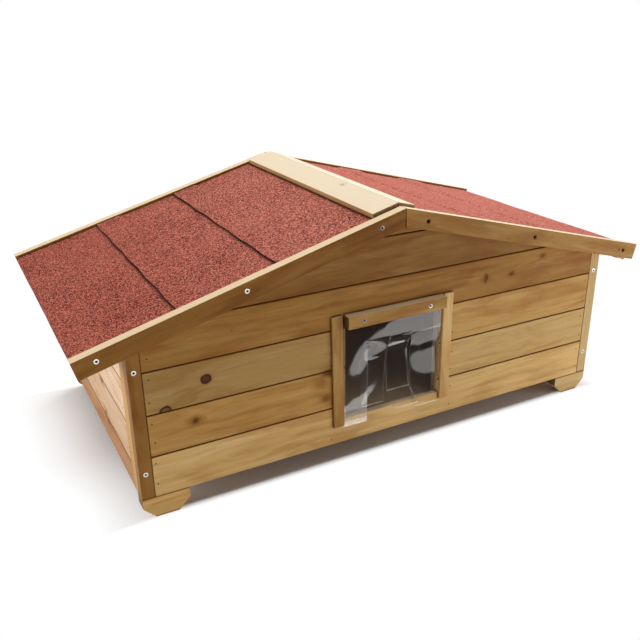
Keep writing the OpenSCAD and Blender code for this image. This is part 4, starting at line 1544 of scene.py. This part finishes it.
@dataclass
class Roof:
    """Panels, felt, barge boards, cap and battens of the roof.

    The felt's sizes are its thickness with its bed, the overlap of two courses, the length over
    which one climbs on to the next, its drop over the eave, the radius of that fold, its
    clearance over what it lies on, its play at the deck's edge, and where it starts beside the
    ridge.
    """

    materials: Materials
    barge_ease: float = 0.001
    cap_ease: float = 0.0008
    panel_ease: float = 0.0004
    thick: float = 0.0025
    lap: float = 0.045
    climb: float = 0.008
    drop: float = 0.0281
    fold_in: float = 0.003
    fold_r: float = 0.0031
    clear: float = 0.0001
    play: float = 0.0005
    start: float = 0.0035

    def build(self) -> None:
        """Makes the roof's timber and its felt."""
        for seed, (node, tone) in enumerate(BARGE_TONES.items(), 100):
            run = Run.LEFT_SLOPE if node.endswith("left") else Run.RIGHT_SLOPE
            self._piece(Timber(node, "stained_battens", (run,), tone=tone, seed=seed, ease=self.barge_ease))
        for number, side in enumerate(("left", "right")):
            self._lengthwise(f"ridge_cap_{side}", "pale_cap", 110 + number, ease=self.cap_ease)
        for number, side in enumerate(("left", "right")):
            self._lengthwise(f"roof_panel_{side}", "board_panels", 120 + number, ease=self.panel_ease)
        for seed, node in enumerate(("ridge_batten", "eave_battens"), 130):
            self._lengthwise(node, "inner_battens", seed)
        for side, name in ((-1, "left"), (1, "right")):
            self._felt(side, name)

    def _lengthwise(self, node: str, finish: str, seed: int, **settings: object) -> None:
        """Builds one piece of timber whose grain runs from front to back."""
        self._piece(Timber(node, finish, (Run.FRONT_TO_BACK,), seed=seed, **settings))

    def _piece(self, timber: Timber) -> None:
        """Builds one piece of the roof with its finish."""
        timber.build(self.materials, "roof", timber.finish)

    def _felt(self, side: int, name: str) -> None:
        """Makes the three courses of one slope, the two upper ones lapped over the one below.

        The eave course follows a quarter circle over the deck's edge and hangs down from there.

        Args:
            side: 1 for the right slope and -1 for the left.
            name: the side in words.
        """
        deck = (HALF_WIDTH + EAVE_OVERHANG) / COS_P - self.thick - self.play
        lap_1 = deck + self.thick - COURSE_1
        lap_2 = lap_1 - COURSE_2
        bend = np.linspace(0, math.pi / 2, 6)[1:]
        fold_s = deck - self.fold_in + self.fold_r * np.sin(bend)
        fold_h = self.clear - self.fold_r * (1 - np.cos(bend))
        eave_s = (lap_1 - self.lap, deck - self.fold_in, *fold_s, deck + self.clear)
        eave_h = (self.clear, self.clear, *fold_h, -self.drop)
        over = self.thick + 2 * self.clear
        lapped_h = (self.clear, self.clear, over, over)
        middle_s = (lap_2 - self.lap, lap_1 - self.lap - self.climb, lap_1 - self.lap, lap_1)
        ridge_s = (self.start, lap_2 - self.lap - self.climb, lap_2 - self.lap, lap_2)
        felt = self.materials["roofing_felt"]
        FeltCourse(f"felt_{name}_eave", side, eave_s, eave_h, fold=True).build(felt)
        FeltCourse(f"felt_{name}_middle", side, middle_s, lapped_h).build(felt)
        FeltCourse(f"felt_{name}_ridge", side, ridge_s, lapped_h).build(felt)


@dataclass
class Curtain:
    """The clear sheet of the doorway: an uncut band under the header, and four strips below it.

    Slits are the places of the three slits from the sheet's left edge, and gap is half the width
    of each. The band leans outward by lean times the square of the share of its height, from the
    top down.
    """

    materials: Materials
    left: float = -0.1013
    right: float = 0.0908
    slits: tuple[float, float, float] = (0.0455, 0.089, 0.131)
    gap: float = 0.0003
    band_top: float = 0.2644
    band_foot: float = 0.2145
    band_y: float = -0.2505
    lean: float = 0.0003
    thick: float = 0.001

    def build(self) -> None:
        """Makes the band and the strips."""
        left, right = self.left, self.right
        t = np.linspace(0, 1, 12)[:, None]
        u = np.linspace(0, 1, 50)[None, :]
        x = left + (right - left) * u + 0 * t
        y = self.band_y - self.lean * t**2 + 0 * u
        z = self.band_top - (self.band_top - self.band_foot) * t + 0 * u
        points, faces = slab(np.stack([x, y, z], -1), self.thick, open_row=-1)
        band = put_mesh("curtain_band_sheet", points, faces, True)
        finish_clear_sheet(band, self.materials["clear_sheet"])
        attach(band, "house")
        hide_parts("curtain_band")
        LOG.info("%s: %.1f mm wide", band.name, 1000 * (right - left))
        for strip in self._strips():
            strip.build(self.materials["clear_sheet"])

    def _strips(self) -> tuple[CurtainStrip, ...]:
        """The four strips between the slits.

        Returns:
            The strips from left to right: flat, bowed inward, kicked outward and slightly bowed.
        """
        first, second, third = (self.left + slit for slit in self.slits)
        gap = self.gap
        return (
            CurtainStrip(1, self.left, first - gap, 0.064, length=0.1505),
            CurtainStrip(
                2, first + gap, second - gap, 0.0803, belly=0.0205, belly_at=0.42, softness=1.3,
                end_depth=0.0195, twist=0.010, curl=0.003,
            ),
            CurtainStrip(
                3, second + gap, third - gap, 0.083, length=0.158, belly=0.013, belly_at=0.30,
                end_depth=0.011, kick=0.0275, right_lean=0.008,
            ),
            CurtainStrip(4, third + gap, self.right, 0.0655, belly=0.007, belly_at=0.40, left_lean=0.006),
        )


@dataclass
class Fixings:
    """Screws and brads.

    Board_end is how far the brads at the ends of the front and back walls stand from the middle,
    and side_end the same for the side walls. Doorway gives those beside the opening, and each pair
    of shares is the two brads' heights in a board. Seams are the edges of the side boards, counted
    from the foot of the wall, and jitter is how far a brad may stand off its place.
    """

    materials: Materials
    board_end: float = 0.4215
    side_end: float = 0.193
    left_ends: tuple[float, float] = (0.30, 0.79)
    right_ends: tuple[float, float] = (0.20, 0.77)
    doorway: tuple[tuple[float, tuple[float, float]], ...] = (
        (-0.1230, (0.12, 0.62)),
        (0.1160, (0.21, 0.71)),
    )
    back_ends: tuple[float, float] = (0.24, 0.75)
    side_ends: tuple[float, float] = (0.25, 0.75)
    seams: tuple[float, ...] = (0.0, 0.0446, 0.1148, 0.1850, 0.2552)
    jitter: float = 0.002

    def build(self) -> None:
        """Makes the screws of the roof and of the house, and the brads."""
        steel = self.materials["screw_steel"]
        CrossHeadScrews("barge_screws", shaded_right=True).build(steel, "roof")
        for node in ("corner_screws", "header_screws", "foot_screws"):
            CrossHeadScrews(node).build(steel, "house")
        places, outward = self._wall_brads()
        Brads("wall_brads", places, outward).build(self.materials["brad_steel"], "house")

    def _wall_brads(self) -> tuple[np.ndarray, np.ndarray]:
        """Places two brads at each end of each board, and moves each a little along the face.

        Returns:
            The brads' places and the directions that they face.
        """
        spots: list[Triple] = []
        left_end, right_end = (-self.board_end, self.left_ends), (self.board_end, self.right_ends)
        for row in range(4):
            foot = GROUND_TO_WALL + BOARD_COVER * row
            doorway = self.doorway if row < 3 else ()
            for x, shares in (left_end, *doorway, right_end):
                spots += [(x, WALL_FRONT, foot + BOARD_COVER * share) for share in shares]
            for x in (-self.board_end, self.board_end):
                spots += [(x, -WALL_FRONT, foot + BOARD_COVER * share) for share in self.back_ends]
        for low, high in zip(self.seams, self.seams[1:]):
            for share in self.side_ends:
                z = GROUND_TO_WALL + low + (high - low) * share
                for x in (-HALF_WIDTH, HALF_WIDTH):
                    spots += [(x, y, z) for y in (-self.side_end, self.side_end)]
        places = np.array(spots)
        across, back = places[:, :1], places[:, 1:2]
        on_side = np.abs(across) > self.board_end
        outward = np.where(on_side, [[1.0, 0, 0]], [[0.0, 1.0, 0]])
        outward = outward * np.where(on_side, np.sign(across), np.sign(back))
        random = np.random.default_rng(11)
        jitter = random.uniform(-self.jitter, self.jitter, places.shape) * (np.abs(outward) < 0.5)
        return places + jitter, outward


@dataclass(frozen=True)
class Lamp:
    """A soft rectangular lamp: where it stands, what it faces, its size, its power and its colour."""

    name: str
    place: Triple
    target: Triple
    size: tuple[float, float]
    power: float
    tint: Colour = (1.0, 0.99, 0.97)

    def build(self) -> None:
        """Adds the lamp to the scene."""
        light = bpy.data.lights.new(self.name, "AREA")
        light.shape, light.size, light.size_y = "RECTANGLE", self.size[0], self.size[1]
        light.energy, light.color = self.power, self.tint
        made = bpy.data.objects.new(self.name, light)
        made.location = self.place
        made.rotation_mode = "QUATERNION"
        made.rotation_quaternion = (Vector(self.target) - Vector(self.place)).to_track_quat("-Z", "Y")
        bpy.context.scene.collection.objects.link(made)


@dataclass(frozen=True)
class PaintedGlint:
    """A bright patch of a painted reflection card, a painted glint: a chain of discs, each by its place on
    the card and its radius.
    """

    chain: tuple[Triple, ...]
    strength: float
    soft: float = 0.004

    def over(self, a: np.ndarray, b: np.ndarray) -> np.ndarray:
        """Strength at the card's points: full inside the chain's outline, fading over the soft distance.

        The distance to each link is that to the nearest point of its centre line, less the radius there.

        Args:
            a: the points' places along the card's level way, in the frame.
            b: their places along its other way.

        Returns:
            The strength at each point.
        """
        best = np.full(a.shape, np.inf)
        for (a0, b0, r0), (a1, b1, r1) in zip(self.chain, self.chain[1:]):
            along = ((a - a0) * (a1 - a0) + (b - b0) * (b1 - b0)) / ((a1 - a0) ** 2 + (b1 - b0) ** 2)
            along = np.clip(along, 0, 1)
            gap = np.hypot(a - a0 - along * (a1 - a0), b - b0 - along * (b1 - b0)) - r0 - along * (r1 - r0)
            best = np.minimum(best, gap)
        return self.strength * np.clip(0.5 - best / self.soft, 0, 1)


@dataclass(frozen=True)
class PaintedReflectionCard:
    """A black card with bright patches that stands before the doorway and is seen in gloss alone: a painted
    reflection.

    It is what the clear curtain mirrors: a painted reflection of the pale sweep of the studio and the dark
    room behind it, with painted glints.
    """

    name: str
    corner: Triple
    across: Triple
    up: Triple
    painted_glints: tuple[PaintedGlint, ...]
    step: float = 0.002

    def build(self, material: bpy.types.Material) -> None:
        """Makes the card as a grid whose points carry the brightness of their painted glints.

        Args:
            material: the card's finish.
        """
        wide, high = np.linalg.norm(self.across), np.linalg.norm(self.up)
        a = np.linspace(0, 1, int(wide / self.step) + 2)
        b = np.linspace(0, 1, int(high / self.step) + 2)
        grid_b, grid_a = np.meshgrid(b, a, indexing="ij")
        points = np.array(self.corner) + grid_a[..., None] * np.array(self.across)
        points = points + grid_b[..., None] * np.array(self.up)
        card = put_mesh(self.name, points.reshape(-1, 3), grid_faces(len(b), len(a)), False)
        flat = points[..., 0], points[..., 2] if abs(self.up[2]) > 0 else points[..., 1]
        painted_glint = sum((g.over(*flat) for g in self.painted_glints), np.zeros_like(grid_a))
        scalar_attribute(card.data, "painted_glint", painted_glint.ravel())
        card.data.materials.append(material)
        card.visible_camera = card.visible_diffuse = card.visible_shadow = card.visible_volume_scatter = False


def painted_reflection_material() -> bpy.types.Material:
    """Emission by the card's painted glints, over a faint cool painted reflection of the studio's dark side.

    Returns:
        The finished material.
    """
    made, w, _ = new_material("painted_reflection_card")
    painted_glint = w.node("ShaderNodeAttribute", attribute_name="painted_glint").outputs["Fac"]
    tint = w.mix(w.ramp(painted_glint, 0.1, 0.8), (0.95, 0.86, 1.0), (1.0, 0.97, 0.95))
    light = w.node("ShaderNodeEmission", {"Color": tint, "Strength": w.math("ADD", painted_glint, 0.10)})
    out = next(n for n in made.node_tree.nodes if n.type == "OUTPUT_MATERIAL")
    w.feed(out.inputs["Surface"], light.outputs[0])
    return made


# Painted reflections and glints for the clear curtain: one card before the doorway and one under it.
PAINTED_REFLECTIONS = (
    PaintedReflectionCard(
        "painted_reflection_before_door", (-0.16, -0.33, 0.0045), (0.46, 0.0, 0.0), (0.0, 0.0, 0.45),
        (
            PaintedGlint(
                (
                    (-0.0315, 0.1226, 0.013), (-0.0186, 0.1400, 0.016), (0.0041, 0.1600, 0.019),
                    (0.0387, 0.1770, 0.022), (0.0885, 0.1880, 0.030), (0.1620, 0.1920, 0.040),
                ),
                1.95,
            ),
            PaintedGlint(((0.124, 0.124, 0.038), (0.200, 0.134, 0.050)), 1.5),
            PaintedGlint(((-0.057, 0.043, 0.005), (-0.014, 0.0535, 0.0155)), 2.6),
            PaintedGlint(((-0.057, 0.030, 0.008), (-0.008, 0.030, 0.008)), 1.2),
            PaintedGlint(((-0.057, 0.010, 0.011), (-0.008, 0.010, 0.011)), 3.8),
        ),
    ),
    PaintedReflectionCard(
        "painted_reflection_under_door", (-0.25, -0.326, 0.004), (0.45, 0.0, 0.0), (0.0, 0.072, 0.0),
        (
            PaintedGlint(((-0.020, -0.290, 0.040), (0.040, -0.290, 0.036)), 1.4),
            PaintedGlint(((0.090, -0.264, 0.004), (0.150, -0.266, 0.004)), 2.4),
        ),
    ),
)


LAMPS = (
    Lamp("top", (0.0, 0.0, 2.7), (0.0, 0.0, 0.2), (1.8, 1.8), 58.0),
    Lamp("back_right", (2.2, 1.6, 2.1), (0.0, 0.0, 0.2), (1.6, 1.6), 76.0),
    Lamp("low_left", (-2.2, 0.2, 0.6), (-0.4, 0.0, 0.15), (1.6, 0.8), 25.0),
    Lamp("low_front_right", (1.3, -1.2, 0.14), (0.3, -0.25, 0.10), (0.9, 0.24), 4.5),
    Lamp("low_front", (0.1, -1.7, 0.14), (0.0, 0.0, 0.12), (1.6, 0.24), 2.0),
    Lamp("near_right", (1.3, -1.3, 0.7), (0.3, -0.2, 0.15), (0.8, 0.6), 2.5),
)


@dataclass
class Studio:
    """White floor and surround, soft lamps and the camera.

    Each pair of the floor gives where its shadow starts to fade to white and where it is gone: in
    front and behind, at the left, at the right, and close to the house at the left, where the
    share near_share of it goes towards the front. The camera's yaw, pitch and roll are in radians,
    and its lens is in millimetres.
    """

    fill: float = 0.10
    # The floor's warm tint also paints the warm light that the wood bounces into the house's shadow.
    floor_and_bounce_tint: Colour = (0.86, 0.825, 0.800)
    floor_z: float = -0.0004
    floor_half: float = 6.0
    front_fade: tuple[float, float] = (0.238, 0.257)
    left_fade: tuple[float, float] = (-0.408, -0.570)
    right_fade: tuple[float, float] = (0.440, 0.480)
    near_left: tuple[float, float] = (-0.415, -0.445)
    near_front: tuple[float, float] = (0.02, -0.21)
    near_share: float = 0.33
    camera_at: Triple = (-0.6497, -1.2334, 0.73944)
    yaw: float = 0.4756
    pitch: float = 0.4021
    roll: float = 0.0148
    lens: float = 43.292
    lamps: tuple[Lamp, ...] = LAMPS
    painted_reflections: tuple[PaintedReflectionCard, ...] = PAINTED_REFLECTIONS

    def build(self) -> None:
        """Sets the colour management and builds everything in the studio."""
        bpy.context.scene.view_settings.view_transform = "Standard"
        self.floor()
        self.surround()
        for lamp in self.lamps:
            lamp.build()
        # Painted reflections and glints for the clear curtain, seen in gloss alone.
        material = painted_reflection_material()
        for card in self.painted_reflections:
            card.build(material)
        self.camera()

    def floor(self) -> None:
        """A white sheet of floor that keeps the house's shadow.

        What the camera sees turns from the lit floor to plain white beyond the house's footprint:
        quickly in front of it and behind it, and slowly at the left, where the shadow falls, though
        less of the shadow is kept there towards the front.
        """
        span = np.linspace(-1, 1, 3) * self.floor_half
        x, y = np.meshgrid(span, span, indexing="ij")
        points = np.stack([x, y, np.full_like(x, self.floor_z)], -1).reshape(-1, 3)
        floor = put_mesh("studio_floor", points, grid_faces(3, 3), False)
        made, w, shader = new_material("studio_floor")
        # Warm floor colour: painted bounce light in the shadow.
        shader.inputs["Base Color"].default_value = (*self.floor_and_bounce_tint, 1.0)
        shader.inputs["Roughness"].default_value = 0.9
        shader.inputs["Specular IOR Level"].default_value = 0.0
        white = w.node("ShaderNodeEmission", {"Color": (1.0, 1.0, 1.0), "Strength": 1.0})
        place = w.node("ShaderNodeTexCoord").outputs["Object"]
        split = w.node("ShaderNodeSeparateXYZ", {0: place})
        across, back = split.outputs[0], split.outputs[1]
        before = w.ramp(w.math("ABSOLUTE", back), *self.front_fade)
        left, right = (
            w.node("ShaderNodeMapRange", {"Value": across, "From Min": start, "From Max": end}).outputs[0]
            for start, end in (self.left_fade, self.right_fade)
        )
        forward = w.ramp(back, *self.near_front, 0.0, self.near_share)
        near = w.math("MULTIPLY", w.ramp(across, *self.near_left), forward)
        left = w.math("ADD", left, near, clamp=True)
        away = w.math("MAXIMUM", before, w.math("MAXIMUM", left, right))
        share = w.math("MULTIPLY", self._seen(w), away)
        blend = w.node("ShaderNodeMixShader", {0: share, 1: shader.outputs[0], 2: white.outputs[0]})
        out = next(n for n in made.node_tree.nodes if n.type == "OUTPUT_MATERIAL")
        w.feed(out.inputs["Surface"], blend.outputs[0])
        floor.data.materials.append(made)

    def surround(self) -> None:
        """White for the camera and in reflections, and a soft grey light for the rest."""
        world = bpy.data.worlds.new("studio_surround")
        bpy.context.scene.world = world
        world.use_nodes = True
        w = Wiring(world.node_tree)
        nodes = world.node_tree.nodes
        fill = nodes["Background"]
        fill.inputs["Color"].default_value = (1.0, 0.985, 0.97, 1.0)
        fill.inputs["Strength"].default_value = self.fill
        white = w.node("ShaderNodeBackground", {"Color": (1.0, 1.0, 1.0), "Strength": 1.0})
        blend = w.node("ShaderNodeMixShader", {0: self._seen(w), 1: fill.outputs[0], 2: white.outputs[0]})
        w.feed(nodes["World Output"].inputs["Surface"], blend.outputs[0])

    @staticmethod
    def _seen(w: Wiring) -> Socket:
        """Finds the rays that look at the studio rather than light the house.

        Args:
            w: the wiring of the floor or of the surround.

        Returns:
            1 for a ray from the camera, through the clear sheet or off a gloss, and 0 for the rest.
        """
        path = w.node("ShaderNodeLightPath")
        seen = w.math("MAXIMUM", path.outputs["Is Camera Ray"], path.outputs["Is Transmission Ray"])
        return w.math("MAXIMUM", seen, path.outputs["Is Glossy Ray"])

    def camera(self) -> None:
        """Sets the photograph's camera: it looks along the yaw, down by the pitch, rolled by the roll."""
        flat = math.cos(self.pitch)
        ahead = np.array([math.sin(self.yaw) * flat, math.cos(self.yaw) * flat, -math.sin(self.pitch)])
        level = np.array([math.cos(self.yaw), -math.sin(self.yaw), 0.0])
        down = np.cross(ahead, level)
        right = math.cos(self.roll) * level + math.sin(self.roll) * down
        below = -math.sin(self.roll) * level + math.cos(self.roll) * down
        turn = Matrix(np.stack([right, -below, -ahead], 1).tolist()).to_4x4()
        data = bpy.data.cameras.new("photo_camera")
        data.sensor_width, data.lens = 36.0, self.lens
        data.clip_start, data.clip_end = 0.01, 50.0
        made = bpy.data.objects.new("photo_camera", data)
        made.matrix_world = Matrix.Translation(self.camera_at) @ turn
        bpy.context.scene.collection.objects.link(made)
        bpy.context.scene.camera = made


def wall_knot(along: float, height: float, half_w: float, half_h: float, **settings: float) -> Knot:
    """A knot whose height is counted from the foot of the wall."""
    return Knot(along, GROUND_TO_WALL + height, half_w, half_h, **settings)


FRONT_KNOTS = (
    wall_knot(-0.335, 0.178, 0.0086, 0.0078, dark=1.0, rim=0.7, reach=0.018, ragged=0.001),
    wall_knot(-0.400, 0.141, 0.0088, 0.0082, dark=0.6, reach=0.016, above=GROUND_TO_WALL + 2 * BOARD_COVER),
    wall_knot(
        -0.356, 0.113, 0.0044, 0.0048, dark=0.85, rim=0.0, halo=0.95, reach=0.017, ragged=0.004, soft=0.7,
    ),
    wall_knot(
        0.308, 0.264, 0.0050, 0.0034, dark=0.60, rim=0.1, halo=0.9, reach=0.013, ragged=0.005, soft=0.5,
    ),
    wall_knot(
        0.239, 0.242, 0.0058, 0.0032, dark=0.70, rim=0.1, halo=0.9, reach=0.014, ragged=0.007, soft=0.5,
    ),
    wall_knot(
        0.182, 0.244, 0.0042, 0.0080, dark=0.75, rim=0.1, halo=0.9, reach=0.015, ragged=0.008, soft=0.5,
    ),
    wall_knot(
        -0.134, 0.092, 0.0040, 0.0060, dark=0.35, rim=0.0, halo=0.95, reach=0.015, ragged=0.004, soft=0.6,
    ),
    wall_knot(
        -0.127, 0.138, 0.0130, 0.0050, dark=0.85, rim=0.0, halo=0.6, reach=0.022, ragged=0.004, soft=0.6,
    ),
    wall_knot(-0.143, 0.121, 0.0040, 0.0040, dark=0.0, rim=0.0, halo=0.75, reach=0.018, ragged=0.006),
    wall_knot(-0.290, 0.246, 0.0011, 0.0011, dark=0.8, rim=0.2, halo=0.2, reach=0.006),
)

SIDE_KNOTS = (
    Knot(-0.042, 0.1467, 0.0060, 0.0050, dark=0.6, halo=0.5, reach=0.022, ragged=0.004),
    Knot(-0.046, 0.0875, 0.0050, 0.0040, dark=0.6, halo=0.5, reach=0.020, ragged=0.004),
    Knot(-0.056, 0.0735, 0.0060, 0.0050, dark=0.6, halo=0.5, reach=0.022, ragged=0.004),
)

CAP_KNOTS = (Knot(-0.085, -0.011, 0.0050, 0.0030, dark=0.9, rim=0.2, halo=0.5, reach=0.014, above=-1.0),)

HONEY, AMBER, STRAW = (0.510, 0.320, 0.110), (0.350, 0.168, 0.042), (0.590, 0.425, 0.200)

STAINS = (
    Stain("front_boarding", HONEY, AMBER, STRAW, knots=FRONT_KNOTS),
    Stain(
        "side_boarding", (0.640, 0.440, 0.270), (0.480, 0.260, 0.120), (0.720, 0.560, 0.410),
        flecks_and_top_light=(0.760, 0.620, 0.470), wall=Wall.SIDE, knots=SIDE_KNOTS,
    ),
    Stain(
        "stained_battens", HONEY, AMBER, STRAW, ring_width=0.0060, ring_strength=0.4, end_dark=0.75,
        joint_z=GROUND_TO_WALL,
    ),
    Stain(
        "pale_cap", (0.480, 0.310, 0.140), (0.380, 0.210, 0.080), (0.560, 0.410, 0.220),
        flecks_and_top_light=(0.640, 0.540, 0.400), wall=Wall.CAP, knots=CAP_KNOTS,
    ),
    Stain(
        "inner_battens", (0.620, 0.440, 0.250), (0.480, 0.290, 0.130), (0.660, 0.520, 0.340),
        wild_share=0.12,
    ),
    Stain(
        "board_panels", (0.680, 0.390, 0.240), (0.520, 0.270, 0.150), (0.740, 0.500, 0.340),
        ring_width=0.012, wild_share=0.04,
    ),
)

FELT = Granules("roofing_felt", (0.205, 0.035, 0.023), (0.500, 0.155, 0.105), (0.036, 0.007, 0.005))
CLEAR = ClearSheet("clear_sheet")
STEELS = (Steel("screw_steel", (0.80, 0.79, 0.77), 0.28), Steel("brad_steel", (0.040, 0.020, 0.009), 0.5))


def finishes() -> Materials:
    """Builds the shared node groups and every material.

    Returns:
        The materials by name.
    """
    groups = {
        "timber_figure": grain_group(),
        "knot": knot_group(),
        "wild_knots": wild_knot_group(),
        "crevice_shade": crevice_shade_group(),
        "painted_top_light": top_light_group(),
        "end_grain": end_grain_group(),
    }
    made = {finish.name: finish.material(groups) for finish in (*STAINS, FELT)}
    made |= {finish.name: finish.material() for finish in (CLEAR, *STEELS)}
    return made


def main() -> None:
    logging.basicConfig(level=logging.INFO, format="%(name)s %(message)s")
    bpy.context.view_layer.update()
    materials = finishes()
    for assembly in (Walls(materials), Roof(materials), Curtain(materials), Fixings(materials), Studio()):
        assembly.build()


if __name__ == "__main__":
    main()
